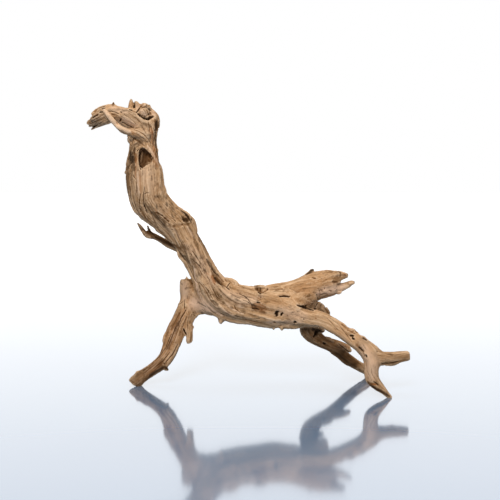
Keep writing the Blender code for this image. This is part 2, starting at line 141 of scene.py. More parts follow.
# Shards, buds and rims that are too thin or too sharp for the solid: x, y, z, half the width and half the
# depth, in mm
SHARDS = {
    "upper splinter": [
        (-212, -5, 411, 5, 4), (-220, -6, 409, 4, 3), (-226, -6, 406, 2.4, 2), (-229, -6, 405, 0.8, 0.8),
    ],
    "second splinter": [
        (-210, -9, 405, 3, 3), (-221, -9, 402, 3.4, 2), (-228, -8, 398, 2.4, 1.4),
        (-230, -8, 396, 1, 0.7),
    ],
    "longest splinter": [
        (-214, -1, 398, 5, 4), (-226, -1, 395, 4.6, 3), (-234, -1, 392, 3.4, 2), (-236.5, -1, 391, 1, 1),
    ],
    "splinter behind": [
        (-212, 4, 396, 4, 4), (-226, 5, 391, 3, 2.4), (-233, 5, 388, 2.2, 1.6), (-235, 5, 387, 0.7, 0.7),
    ],
    "dark lower splinter": [
        (-206, 8, 397, 5, 4), (-219, 9, 391, 3.6, 3), (-227, 9, 386, 2, 2), (-232, 9, 382.5, 0.8, 0.8),
    ],
    "nub on the head": [
        (-197.5, -2, 414, 1.6, 1.6), (-197.5, -2, 419, 1.5, 1.5), (-197, -2, 422.6, 0.9, 0.9),
    ],
    "upper edge of the head": [
        (-219, -4, 412.5, 2, 2), (-211.5, -4, 414.3, 3, 3), (-206, -4, 415.4, 3, 3),
        (-200, -4, 415.8, 3, 3), (-193, -3, 415.5, 1.7, 1.7),
    ],
    "spike": [
        (-174.5, 11, 412, 3.5, 3.2), (-174, 11, 420, 3.1, 2.8), (-173, 11.5, 424, 2.5, 2.2),
        (-172.5, 12, 426.5, 1.2, 1.2),
    ],
    "middle tooth": [
        (-164.5, 8, 408, 5.3, 4.2), (-165, 8.5, 417, 5, 4), (-165.5, 9.5, 421.5, 3.9, 3.2),
        (-165.5, 10, 423.5, 2.2, 1.8),
    ],
    "right tooth": [(-155, 10, 408, 5, 5), (-154.6, 10, 416, 4.8, 5), (-154, 10, 420.4, 2.6, 3)],
    "main lump": [
        (-160.5, 1, 407, 1.7, 1.7), (-158, 1, 407.5, 4.9, 4.5), (-153.5, 1.5, 408, 5.8, 5.2),
        (-149.5, 3, 408, 5, 4.5), (-147, 4.5, 408, 2, 2),
    ],
    "small lump": [
        (-147, 16, 404, 5, 5), (-147.4, 15, 411, 3.6, 3.6), (-147.6, 15, 415.5, 2.4, 2.4),
        (-147.8, 15, 418, 1.2, 1.2),
    ],
    "upper edge of the ear": [
        (-147.5, 13, 410, 1.8, 1.8), (-144, 13, 409, 2.9, 2.9), (-140.5, 13, 406, 2.9, 2.9),
        (-138, 12, 402.5, 2.1, 2.1),
    ],
    "neck corner": [
        (-171.5, -9, 377, 3.5, 3.1), (-173, -6, 372, 4.4, 3.9), (-173.5, -1, 367, 4.1, 3.7),
        (-172, -1, 361.5, 2.3, 2.1),
    ],
    "left rim of the hollow": [
        (-161.5, -7.5, 354.5, 1.7, 1.7), (-163, -8.5, 349, 2.2, 2.2), (-163.5, -7.5, 341.5, 2.3, 2.3),
        (-162.5, -12, 333.5, 2.3, 2.3), (-159.5, -14, 326.5, 1.7, 1.7),
    ],
    "lower rim of the hollow": [
        (-155.5, -14, 323.5, 2.9, 2.6), (-148, -12.5, 326.5, 4.4, 3.5), (-140, -10.5, 331.5, 4.4, 3.5),
        (-136.5, -9, 336, 1.7, 1.4),
    ],
    "bud on the neck": [(-177, 12, 318, 5, 6), (-181.4, 12, 320, 3.4, 4.4), (-184.2, 12, 321, 1.6, 2)],
    "right edge above the shoulder": [
        (-127, 2, 294, 1.8, 1.8), (-125, 2.5, 289.5, 2.9, 2.9), (-121.5, 3, 284.5, 2.9, 2.9),
        (-118, 3, 280, 1.8, 1.8),
    ],
    "shoulder rim": [
        (-111.5, 4, 271.5, 1.5, 1.5), (-105.5, 5, 267, 2.8, 2.8), (-99.5, 5, 262.5, 3, 3),
        (-94.5, 4.5, 259, 3, 3), (-90.5, 3.5, 255, 3, 3), (-87, 1.5, 251, 1.8, 1.8),
    ],
    "twig tip": [(-161, 38, 231, 3.2, 3.2), (-166, 39, 238, 2.3, 2.3), (-170, 40, 243, 1, 1)],
    "twig side tip": [(-149, 35, 227, 2.2, 2.2), (-152, 34, 233, 1.9, 1.9), (-154, 33, 239.5, 1.4, 1.4)],
    "twig fork": [
        (-108, 24, 206.5, 4.6, 4.6), (-128, 31, 216, 4, 4), (-143, 34, 224, 3.2, 3.2),
        (-155, 37, 230.5, 2.2, 2.2),
    ],
    "underside of the twig fork": [
        (-162, 35, 231, 1.8, 1.8), (-158, 34.5, 226, 2.9, 2.9), (-152.5, 33.5, 223, 3, 3),
        (-145, 32, 221.5, 2.4, 2.4),
    ],
    "left edge under the twig": [
        (-107, 4, 204.5, 1.8, 1.8), (-104, 4, 198.5, 3, 3), (-100.5, 3, 193, 3, 3),
        (-96.5, 3, 187, 1.8, 1.8),
    ],
    "bend of the trunk": [
        (-38.5, 3, 162.5, 1.8, 1.8), (-32.5, 2, 160, 3.3, 3.3), (-27, 1, 157.5, 3.6, 3.6),
        (-21, 0.5, 154, 3.3, 3.3), (-15, -0.5, 151, 1.8, 1.8),
    ],
    "ridge on the trunk": [
        (3, -1, 149.5, 1.5, 1.5), (9, -1, 150, 3.3, 3.3), (18, -1, 150.5, 3.3, 3.3),
        (26.5, -1, 149.5, 1.5, 1.5),
    ],
    "belly": [
        (15, -7, 98, 2.4, 2.9), (27, -6, 96, 4.5, 5.4), (44.5, -5, 95.5, 5.1, 6.1),
        (62.5, -5, 95.5, 5.1, 6.1), (76, -4, 95.5, 4.8, 5.7), (83.5, -4, 96.5, 2.4, 2.9),
    ],
    "first nub on the belly": [(35, -8, 93.5, 2.1, 2.1), (35, -8, 90, 1.8, 1.8), (35, -8, 88.5, 0.9, 0.9)],
    "second nub on the belly": [
        (46.5, -8, 93, 3.3, 3.3), (47, -8, 89.5, 2.7, 2.7), (47.5, -8, 87.5, 1.2, 1.2),
    ],
    "belly bud": [
        (-44, 0, 108, 4.2, 4.2), (-43.4, -4, 103, 3.9, 3.9), (-43.2, -5, 99, 3.1, 3.1),
        (-43, -5, 96.8, 1.6, 1.6),
    ],
    "dark splinter on the upper stub": [
        (82.5, 25, 162.5, 2.4, 2.4), (88.5, 27, 167.5, 2, 2), (93, 29, 170.5, 1.7, 1.7),
        (96.5, 31, 173, 1.5, 1.5),
    ],
    "knobby tine tip": [
        (126, 26, 165, 5, 5), (136, 25, 166.5, 4.6, 5), (142, 24, 165, 3.8, 4), (144.5, 24, 164, 2, 2.4),
    ],
    "upper edge of the tine tip": [
        (134.5, 20, 167, 2.1, 2.1), (140, 20, 167, 3.5, 3.5), (144.5, 20, 165, 3.3, 3.3),
        (147, 20, 164, 2.1, 2.1),
    ],
    "corner of the notch": [(129, 20, 156, 2.1, 2.1), (133, 22, 156, 3, 3), (136.5, 24, 155.5, 1.5, 1.5)],
    "lower tine tip": [(148.5, 29, 151, 2.9, 2.9), (154, 30, 152, 3.2, 3.2), (157, 30, 153, 2.3, 2.3)],
    "ragged edge under the tine": [
        (128, 25, 139.5, 1.8, 1.8), (132.5, 26, 139, 2.7, 2.7), (137.5, 27, 140, 1.8, 1.8),
    ],
    "first tooth under the tine": [(104, 22, 137, 4, 4), (106, 22, 132.6, 2.4, 3)],
    "second tooth under the tine": [(112, 23, 139, 4, 4), (114.4, 23, 134.6, 2.2, 2.6)],
    "third tooth under the tine": [(119, 24, 141, 3.6, 4), (121.6, 24, 137.4, 2, 2.4)],
    "lap over the front leg": [
        (56, -2, 128, 8, 8), (70, -1, 131, 11, 9), (84, 6, 133, 11, 9), (96, 14, 134, 8, 7),
    ],
    "upper edge of the knee": [
        (102.5, 28, 122.5, 2.1, 2.1), (106.5, 31, 118.5, 3.3, 3.3), (112, 35, 113, 3.1, 3.1),
    ],
    "outer edge of the knee": [
        (115.5, 36, 113.5, 2.1, 2.1), (118, 38, 108, 3.1, 3.1), (119, 38, 103, 3.1, 3.1),
        (118, 38, 98.5, 1.8, 1.8),
    ],
    "upper edge of the front leg": [
        (141.5, -41, 94.5, 2.3, 2.3), (146, -42.5, 94, 3.5, 3.5), (149.5, -44, 91, 3.2, 3.2),
        (153, -46, 87.5, 2.9, 2.9), (157, -48, 85, 2.9, 2.9), (161.5, -49, 84.5, 3.3, 3.3),
        (165.5, -50.5, 80.5, 2.9, 2.9), (171, -51.5, 77, 2.9, 2.9), (175.5, -52.5, 73, 3.2, 3.2),
        (180, -53, 69.5, 3.2, 3.2), (186, -53.5, 64.5, 1.7, 1.7),
    ],
    "lower lip of the side stub": [
        (196, -51, 45.5, 1.7, 1.7), (202, -50, 46.5, 3.2, 3.2), (209, -48, 47, 3.2, 3.2),
        (215, -46, 48.5, 2, 2),
    ],
    "top of the back leg": [(80.5, 13, 90, 3.6, 3.6), (79.5, 14, 83, 3.3, 3.3), (81.5, 16, 75.5, 2.7, 2.7)],
    "crotch of the back leg": [(100, 22, 80.5, 3.9, 3.9), (107, 24, 81, 4, 4), (112.5, 26, 81.5, 2.4, 2.4)],
    "upper edge of the back leg": [
        (109, 30, 68, 2.1, 2.1), (114, 33, 66.5, 3.4, 3.4), (121, 35, 64.5, 3.4, 3.4),
        (128, 36, 61, 2.1, 2.1),
    ],
    "end of the back stub": [(147.5, 34, 49, 4, 4), (152, 33, 48, 3.7, 3.7), (155, 33, 47, 1.8, 1.8)],
    "sliver on the sawn top": [(-94, 19, 153, 4, 4), (-95, 19, 161, 2, 2), (-95, 19, 165, 0.8, 0.8)],
    "web of the left leg": [
        (-89, 8, 92, 2.1, 2.1), (-88, 9, 97.5, 3.3, 3.3), (-85, 10, 103.5, 3.6, 3.6),
        (-80, 10, 108.5, 3.6, 3.6), (-73.5, 8, 111.5, 2.4, 2.4),
    ],
    "left edge of the left leg": [
        (-124, 4, 83.5, 1.8, 1.8), (-126, 3, 77, 3.3, 3.3), (-127, 1.5, 69.5, 3.3, 3.3),
        (-126.5, 1, 62, 1.8, 1.8),
    ],
    "end of the leg stub": [(-91, 1, 74.5, 3.9, 3.9), (-91.5, 1, 69, 3.6, 3.6), (-91.5, 1, 66, 2.1, 2.1)],
    "upper edge of the left foot": [
        (-152, 4, 28, 1.5, 1.5), (-159.5, 5, 24, 3, 3), (-165, 5.5, 20, 3.6, 3.6),
        (-168.5, 5.5, 20.5, 3, 3), (-170.5, 6, 15.5, 3.9, 3.9), (-176.5, 6, 10.5, 3.6, 3.6),
        (-180.5, 5, 7, 2.4, 2.4),
    ],
    "spur of the left leg": [
        (-129.5, -1, 31.5, 3.6, 3.6), (-125.5, -1, 27.5, 2.6, 2.6), (-122, -1, 26, 1.1, 1.1),
    ],
    "between the tooth and the bump": [
        (-166, 8, 416, 2.3, 2.3), (-162, 9, 417, 2.9, 2.9), (-157.5, 10, 417, 3.2, 3.2),
        (-153.5, 11, 419, 2.5, 2.5),
    ],
}
SHARD_SIDES = 14
SHARD_STEP = 1.5
# Where the skin is pushed a little, so that its outline is the real one: how far it moves there, from how
# far away it follows, and the line of places that it is pushed at, in mm
NUDGES = {
    "neck under the ear": (
        (-5.0, 0, 0), 13,
        [(-133, 8, 383.5), (-134, 8, 377.5), (-134.5, 8, 370.5), (-134.5, 7, 361.5)],
    ),
    "outer edge of the ear": ((-1.4, 0, 0), 8, [(-130.5, 8, 396.5), (-130.5, 8, 388)]),
    "upper edge of the front leg": (
        (1.3, 0, 1.5), 8,
        [(142, -44, 96), (153, -48, 89.5), (164.5, -50, 82.5), (176, -52, 74), (186, -53, 67)],
    ),
    "right end of the belly": ((0, 0, -1.3), 8, [(49, -4, 91.5), (61, -4, 90.5), (71.5, -2, 89.5)]),
    "left edge of the back leg": ((-1.2, 0, -0.6), 7, [(76, 14, 85.5), (76.5, 16, 79), (80.5, 20, 72)]),
    "underside of the back leg": (
        (-0.9, 0, -1.2), 7,
        [(126.5, 41, 40.5), (137.5, 44, 30.5), (149, 47, 21)],
    ),
    "bend of the trunk": ((1.7, 0, 1.9), 8, [(-44.5, 3, 173), (-34, 2, 164), (-22.5, 1, 158.5)]),
    "upper edge of the twig": ((0.6, 0, 2.2), 5, [(-141.5, 27, 226), (-134, 25, 222.5), (-126, 23, 218)]),
    "middle of the belly": ((0, 0, -1.1), 8, [(13.5, -5, 92.5), (24, -5, 91.5), (34.5, -5, 91)]),
    "lower tine": ((1.0, 0, 1.5), 7, [(144, 26, 149), (151.5, 28, 150.5), (158, 30, 151.5)]),
    "underside of the upper stub": ((0.7, 0, -1.2), 7, [(115, 24, 131), (127, 24, 135), (138, 25, 139.5)]),
    "right wall of the hollow": ((2.8, 0, 0), 8, [(-145, -4, 347), (-144, -4, 341.5), (-145, -5, 336.5)]),
    "left edge beside the hollow": ((1.2, 0, 0), 8, [(-179.5, 4, 358.5), (-179, 2, 347)]),
    "inner side of the front leg": ((1.2, 0, 0), 6, [(159.5, -53, 59.5), (163.5, -56, 51.5)]),
    "upper edge of the front leg above the fork": (
        (0.6, 0, 1.3), 7,
        [(122.5, -30, 110.5), (129.5, -34, 107), (136.5, -38, 102)],
    ),
    "right edge beside the hollow": ((-1.8, 0, 0), 8, [(-131.5, 5, 345.5), (-130.5, 4, 335.5)]),
    "underside of the belly at the left": (
        (0, 0, 1.4), 8,
        [(-21, -5, 95.5), (-12, -5, 94.5), (-1.5, -5, 94.5)],
    ),
    "left edge of the shoulder": ((1.1, 0, 0.7), 8, [(-165, 0, 256), (-158.5, 0, 249), (-152, 1, 243)]),
    "right edge of the trunk over the shoulder": (
        (1.3, 0, 0.5), 8,
        [(-123, -2, 296), (-119, -2, 288.5), (-114.5, -2, 281.5)],
    ),
    "right edge of the shoulder": ((0.9, 0, 1.0), 8, [(-103, 0, 271), (-96, 1, 265), (-90, 2, 259)]),
    "top of the trunk by the bend": ((0, 0, 1.4), 7, [(-15, 0, 155.5), (-6, 0, 153.5)]),
    "bump over the front leg's holes": ((0.7, 0, 1.3), 6, [(149, -47, 95.5), (154.5, -48, 91.5)]),
    "upper edge of the left foot": (
        (-0.7, 0, 1.9), 7,
        [(-176, -1, 18.5), (-169.5, -1, 22.5), (-163.5, -1, 26), (-157.5, -2, 30)],
    ),
    "left edge of the left leg": (
        (1.2, 0, -0.3), 7,
        [(-139, -2, 41.5), (-136.5, -2, 47.5), (-134, -2, 52)],
    ),
    "underside of the side stub": ((0, 0, 1.8), 7, [(198, -53, 43), (205.5, -52, 43), (213, -50, 44.5)]),
    "arch beside the left leg": ((0, 0, 1.4), 6, [(-67.5, 4, 108), (-60, 3, 108)]),
    "upper edge of the knee": ((0.6, 0, 1.2), 6, [(104.5, 30, 121), (111.5, 34, 114.5)]),
    "lower left edge of the shoulder": (
        (-1.4, 0, -1.4), 7,
        [(-136, 3, 233.5), (-130.5, 3, 227.5), (-124.5, 4, 221.5)],
    ),
    "tip of the upper stub": ((0.5, 0, 1.9), 5, [(138, 16, 169.5), (144, 15, 168.5)]),
    "middle of the trunk's right edge": ((-0.8, 0, -0.3), 6, [(-82.5, 3, 251.5), (-80.5, 4, 242.5)]),
    "back of the neck's right edge": (
        (-2.2, 0, 0), 12,
        [(-136.5, 22, 376), (-136.5, 22, 370), (-136, 20, 364.5)],
    ),
    "left edge of the head under the strand": ((-0.8, 0, -0.9), 6, [(-185, -12, 379), (-179.5, -12, 375)]),
}


def even_rows(stations, step):
    """The stations at even steps, on a smooth curve through the given ones."""
    given = np.array(stations, float)
    given = np.vstack([2 * given[0] - given[1], given, 2 * given[-1] - given[-2]])
    rows = []
    for a, b, c, d in zip(given, given[1:], given[2:], given[3:]):
        count = max(1, round(np.linalg.norm((c - b)[:3]) / step))
        for t in np.arange(count) / count:
            bend = (2 * a - 5 * b + 4 * c - d) * t**2 + (3 * b - a - 3 * c + d) * t**3
            rows.append(b + 0.5 * ((c - a) * t + bend))
    rows.append(given[-2])
    return np.array(rows)


def directions(rows):
    """The way along a limb, across it in the front view and through it, at each row."""
    along = np.gradient(rows[:, :3], axis=0)
    along /= np.linalg.norm(along, axis=1)[:, None]
    across = np.cross(along, (0, 1, 0))
    across /= np.linalg.norm(across, axis=1)[:, None]
    return along, across, np.cross(across, along)


def add_shard(edit, stations):
    """Adds a closed, tapering shell along the stations."""
    rows = even_rows(stations, SHARD_STEP)
    along, across, deep = directions(rows)
    rings = []
    for row, aside, through in zip(rows, across, deep):
        ring = []
        for k in range(SHARD_SIDES):
            angle = math.tau * k / SHARD_SIDES
            spot = row[:3] + row[3] * math.cos(angle) * aside + row[4] * math.sin(angle) * through
            ring.append(edit.verts.new(MM * Vector(spot)))
        rings.append(ring)
    for ring, after in zip(rings, rings[1:]):
        for k in range(SHARD_SIDES):
            m = (k + 1) % SHARD_SIDES
            edit.faces.new((ring[k], ring[m], after[m], after[k]))
    edit.faces.new(rings[0][::-1])
    edit.faces.new(rings[-1])


def applied(obj):
    """The object's mesh with its modifiers applied, which are then removed."""
    graph = bpy.context.evaluated_depsgraph_get()
    made = bpy.data.meshes.new_from_object(obj.evaluated_get(graph))
    obj.modifiers.clear()
    obj.data = made
    return made


def places_of(mesh):
    """The place of each vertex, in metres."""
    places = np.empty(len(mesh.vertices) * 3)
    mesh.vertices.foreach_get("co", places)
    return places.reshape(-1, 3)


def normals_of(mesh):
    """The way that the skin faces at each vertex."""
    normals = np.empty(len(mesh.vertices) * 3)
    mesh.vertex_normals.foreach_get("vector", normals)
    return normals.reshape(-1, 3)


def set_places(mesh, places):
    """Moves each vertex to its new place."""
    mesh.vertices.foreach_set("co", places.ravel())
    mesh.update()


def neighbours_of(mesh):
    """The two ends of every edge."""
    ends = np.empty(len(mesh.edges) * 2, int)
    mesh.edges.foreach_get("vertices", ends)
    return ends.reshape(-1, 2).T


def smoothed(values, neighbours, rounds):
    """The values after each has moved halfway to the mean of its neighbours' again and again."""
    first, second = neighbours
    values = values.copy()
    count = np.bincount(np.concatenate([first, second]), minlength=len(values))[:, None]
    for _ in range(rounds):
        total = np.zeros_like(values)
        for column in range(values.shape[1]):
            total[:, column] += np.bincount(first, values[second, column], len(values))
            total[:, column] += np.bincount(second, values[first, column], len(values))
        values += 0.5 * (total / count - values)
    return values


def reach_of(places, line, leap=math.inf):
    """How far each place is from the line, how far along it that is, from 0 to 1, and which of its
    stretches is nearest. A stretch that is longer than the leap counts as its start alone."""
    starts = line[:-1]
    ways = line[1:] - starts
    ways[np.linalg.norm(ways, axis=1) > leap] = 0
    lengths = np.maximum((ways**2).sum(1), 1e-12)
    away = places[:, None] - starts[None]
    share = np.clip((away * ways).sum(2) / lengths, 0, 1)
    distance = np.linalg.norm(away - share[..., None] * ways, axis=2)
    nearest = distance.argmin(1)
    rows = np.arange(len(places))
    return distance[rows, nearest], (nearest + share[rows, nearest]) / len(starts), nearest


def ramp(values, low, high):
    """0 up to low and 1 from high on, or the other way round, with a smooth change between them."""
    t = np.clip((values - low) / (high - low), 0, 1)
    return t * t * (3 - 2 * t)


def keep_sharp_edges(mesh):
    """Creases the rims of sawn and broken ends, so that rounding the faces leaves them sharp."""
    edit = bmesh.new()
    edit.from_mesh(mesh)
    crease = edit.edges.layers.float.get("crease_edge") or edit.edges.layers.float.new("crease_edge")
    for edge in edit.edges:
        if edge.is_manifold and edge.calc_face_angle() > SHARP_ANGLE:
            edge[crease] = SHARP_CREASE
    edit.to_mesh(mesh)
    edit.free()


def nudged(places):
    """The places after each has been pushed by what is near it in NUDGES."""
    moved = places.copy()
    for push, reach, line in NUDGES.values():
        distance = reach_of(places, MM * np.array(line, float))[0] / (reach * MM)
        moved += np.outer((1 - np.minimum(distance, 1) ** 2) ** 2, push) * MM
    return moved


def fuse(wood):
    """Makes one even, fine skin of the shells that overlap, smooths the steps of its grid away and gives
    back what that took off."""
    remesh = wood.modifiers.new("Fuse", "REMESH")
    remesh.mode = "VOXEL"
    remesh.voxel_size = VOXEL * MM
    mesh = applied(wood)
    set_places(mesh, smoothed(places_of(mesh), neighbours_of(mesh), SKIN_ROUNDS))
    set_places(mesh, places_of(mesh) + SHRINKAGE * MM * normals_of(mesh))


def fine_skin():
    """The solid's own shape with rounded faces, and the shards grown into it."""
    edit = bmesh.new()
    edit.from_mesh(frame["nodes"]["driftwood"].data)
    bmesh.ops.remove_doubles(edit, verts=edit.verts[:], dist=0.01 * MM)
    solid = bpy.data.meshes.new("solid")
    edit.to_mesh(solid)
    edit.free()
    wood = bpy.data.objects.new("driftwood_grain", solid)
    bpy.context.scene.collection.objects.link(wood)
    keep_sharp_edges(solid)
    rounded = wood.modifiers.new("Round", "SUBSURF")
    rounded.levels = rounded.render_levels = 2
    applied(wood)
    edit = bmesh.new()
    edit.from_mesh(wood.data)
    for stations in SHARDS.values():
        add_shard(edit, stations)
    edit.to_mesh(wood.data)
    edit.free()
    set_places(wood.data, nudged(places_of(wood.data)))
    fuse(wood)
    return wood


def path_frames():
    """Each grain path as rows with their directions, lengths along it and places across its parent."""
    made = {}
    for name, (parent, sense, stations) in GRAIN_PATHS.items():
        rows = even_rows(stations, PATH_STEP)
        along, across, deep = directions(rows)
        run = np.concatenate([[0], np.cumsum(np.linalg.norm(np.diff(rows[:, :3], axis=0), axis=1))])
        start, aside, through = 0.0, 0.0, 0.0
        if parent != name:
            trunk = made[parent]
            i = np.linalg.norm(trunk["rows"][:, :3] - rows[0, :3], axis=1).argmin()
            away = rows[0, :3] - trunk["rows"][i, :3]
            start = trunk["run"][i] + trunk["sense"] * (away @ trunk["along"][i])
            aside = away @ trunk["across"][i] + trunk["aside"]
            through = away @ trunk["deep"][i] + trunk["through"]
        made[name] = {
            "rows": rows, "along": along, "across": across, "deep": deep, "sense": sense,
            "run": start + sense * run, "aside": aside, "through": through,
        }
    return made


def grain_of(places):
    """Where each place is in the grain, as the length along it and the two places across it, in mm, then
    the girth of its limb in mm, and how wholly it belongs to that limb."""
    total = np.zeros((len(places), 4))
    weights = np.zeros(len(places))
    heaviest = np.zeros(len(places))
    spots = places / MM
    reaches, coordinates = [], []
    for path in path_frames().values():
        middles = path["rows"][:, :3]
        square = (spots**2).sum(1)[:, None] - 2 * spots @ middles.T + (middles**2).sum(1)
        i = square.argmin(1)
        away = spots - middles[i]
        ahead = np.clip((away * path["along"][i]).sum(1), -PATH_STEP, PATH_STEP)
        girth = path["rows"][i, 3]
        reaches.append(np.sqrt(np.maximum(square[np.arange(len(i)), i], 0)) / girth)
        aside = (away * path["across"][i]).sum(1) + path["aside"]
        through = (away * path["deep"][i]).sum(1) + path["through"]
        run = path["run"][i] + path["sense"] * ahead
        turn = -TWIST * run
        coordinates.append(np.column_stack([
            run,
            aside * np.cos(turn) - through * np.sin(turn),
            aside * np.sin(turn) + through * np.cos(turn),
            girth,
        ]))
    least = np.min(reaches, axis=0)
    for reach, coordinate in zip(reaches, coordinates):
        weight = np.exp(BLEND_SHARPNESS * (least - reach))
        total += weight[:, None] * coordinate
        weights += weight
        heaviest = np.maximum(heaviest, weight)
    total /= weights[:, None]
    return total[:, :3], total[:, 3], heaviest / weights


def set_attribute(mesh, name, values):
    """Keeps one number or one vector for each vertex under the name."""
    flat = values.ndim == 1
    kind = "FLOAT" if flat else "FLOAT_VECTOR"
    attribute = mesh.attributes.get(name) or mesh.attributes.new(name, kind, "POINT")
    attribute.data.foreach_set("value" if flat else "vector", values.astype(np.float32).ravel())


def attribute_of(mesh, name):
    """The number that each vertex keeps under the name."""
    values = np.empty(len(mesh.vertices), np.float32)
    mesh.attributes[name].data.foreach_get("value", values)
    return values.astype(float)


MATH = "ShaderNodeMath"
VECTOR_MATH = "ShaderNodeVectorMath"
NOISE = "ShaderNodeTexNoise"
RANGE = "ShaderNodeMapRange"
STORED = "GeometryNodeInputNamedAttribute"
STORE = "GeometryNodeStoreNamedAttribute"


def add(tree, kind, inputs=(), output=0, **settings):
    """Adds a node with its settings, sets or links its inputs, and gives the output that is asked for."""
    node = tree.nodes.new(kind)
    for name, value in settings.items():
        setattr(node, name, value)
    for key, value in inputs.items() if isinstance(inputs, dict) else enumerate(inputs):
        if isinstance(value, bpy.types.NodeSocket):
            tree.links.new(value, node.inputs[key])
        else:
            node.inputs[key].default_value = value
    return node.outputs[output] if node.outputs else None


def along_grain(tree, grain, cell, detail, roughness=0.5):
    """A pattern drawn out along the grain, with the length and the two widths of its cell in mm."""
    place = add(tree, VECTOR_MATH, (grain, cell), operation="DIVIDE")
    return add(tree, NOISE, {"Vector": place, "Scale": 1.0, "Detail": detail, "Roughness": roughness})


# The relief of the grain in mm, as inputs of the tree: how long and wide its forms are, and how deep. A
# share is how near the middle of its noise a line is cut. The holes' density is for a square metre
RELIEF = {
    "Ridge length": 95.0,
    "Ridge width": 9.0,
    "Ridge depth": 1.7,
    "Furrow length": 110.0,
    "Furrow width": 6.5,
    "Furrow depth": 0.9,
    "Furrow share": 0.03,
    "Fissure length": 58.0,
    "Fissure width": 3.2,
    "Fissure depth": 0.7,
    "Fissure share": 0.035,
    "Fibre length": 34.0,
    "Fibre width": 2.2,
    "Fibre depth": 0.55,
    "Wear depth": 0.75,
    "Full girth": 16.0,
    "Hole density": 900.0,
    "Hole radius": 1.5,
    "Hole depth": 2.2,
}
HOLE_SEED = 11
# How finely the noise of each form is broken up
FORM_DETAIL = {"Ridge": 1.0, "Fibre": 2.0, "Furrow": 1.0, "Fissure": 0.6}
# The patches where lines are cut: their size in mm, and the noise at which they start and are whole
CUT_PATCHES = {"Furrow": (42, 0.42, 0.56), "Fissure": (30, 0.45, 0.6)}
# How large the dents of wear and the patches of larger and smaller holes are, in mm
WEAR_SIZE = 5.5
HOLE_PATCH = 9
# How much of the depth of its lines the smooth, bleached wood keeps
SMOOTH_SHARE = 0.35
# The scattered holes are on the side that faces away from the camera by more than this
HOLES_FACE = 0.15
# A hole is whole up to this share of its radius
HOLE_CORE = 0.55


def form_noise(tree, given, grain, form):
    """The noise of one form of the relief, around 0."""
    width = given[form + " width"]
    cell = add(tree, "ShaderNodeCombineXYZ", (given[form + " length"], width, width))
    pattern = along_grain(tree, grain, cell, FORM_DETAIL[form])
    return add(tree, MATH, (pattern, 0.5), operation="SUBTRACT")


def cut_lines(tree, given, grain, clear, form):
    """Thin lines where the noise passes through its middle, only in patches of the surface."""
    distance = add(tree, MATH, (form_noise(tree, given, grain, form),), operation="ABSOLUTE")
    share = given[form + " share"]
    line = add(tree, RANGE, (distance, 0.0, share, 1.0, 0.0), interpolation_type="SMOOTHSTEP")
    size, low, high = CUT_PATCHES[form]
    position = add(tree, "GeometryNodeInputPosition")
    spread = add(tree, NOISE, {"Vector": position, "Scale": 1 / (size * MM), "Detail": 1.0})
    patch = add(tree, RANGE, (spread, low, high), interpolation_type="SMOOTHSTEP")
    shown = add(tree, MATH, (line, patch), operation="MULTIPLY")
    return add(tree, MATH, (shown, clear), operation="MULTIPLY")


def raised_and_cut(tree, given, position):
    """The height of the grain in mm, how stout the limb is, and the mask of its cut lines."""
    grain = add(tree, STORED, {"Name": "grain"}, "Attribute", data_type="FLOAT_VECTOR")
    girth = add(tree, STORED, {"Name": "girth"}, "Attribute", data_type="FLOAT")
    clear = add(tree, STORED, {"Name": "clear"}, "Attribute", data_type="FLOAT")
    weather = add(tree, STORED, {"Name": "weather"}, "Attribute", data_type="FLOAT")
    ridge = form_noise(tree, given, grain, "Ridge")
    ridge = add(tree, MATH, (ridge, given["Ridge depth"]), operation="MULTIPLY")
    fibre = form_noise(tree, given, grain, "Fibre")
    fibre = add(tree, MATH, (fibre, given["Fibre depth"]), operation="MULTIPLY")
    wear = add(tree, NOISE, {"Vector": position, "Scale": 1 / (WEAR_SIZE * MM), "Detail": 2.0})
    wear = add(tree, MATH, (wear, 0.5), operation="SUBTRACT")
    wear = add(tree, MATH, (wear, given["Wear depth"]), operation="MULTIPLY")
    raised = add(tree, MATH, (ridge, fibre), operation="ADD")
    raised = add(tree, MATH, (raised, wear), operation="ADD")
    raised = add(tree, MATH, (raised, 2.0), operation="MULTIPLY")

    furrow = cut_lines(tree, given, grain, clear, "Furrow")
    fissure = cut_lines(tree, given, grain, clear, "Fissure")
    furrow_cut = add(tree, MATH, (furrow, given["Furrow depth"]), operation="MULTIPLY")
    fissure_cut = add(tree, MATH, (fissure, given["Fissure depth"]), operation="MULTIPLY")
    cut = add(tree, MATH, (furrow_cut, fissure_cut), operation="ADD")
    open_grain = add(tree, MATH, (weather, 1 - SMOOTH_SHARE), operation="MULTIPLY")
    open_grain = add(tree, MATH, (open_grain, SMOOTH_SHARE), operation="ADD")
    cut = add(tree, MATH, (cut, open_grain), operation="MULTIPLY")

    stoutness = add(tree, MATH, (girth, given["Full girth"]), operation="DIVIDE", use_clamp=True)
    height = add(tree, MATH, (raised, cut), operation="SUBTRACT")
    height = add(tree, MATH, (height, stoutness), operation="MULTIPLY")
    return height, stoutness, add(tree, MATH, (furrow, fissure), operation="MAXIMUM")


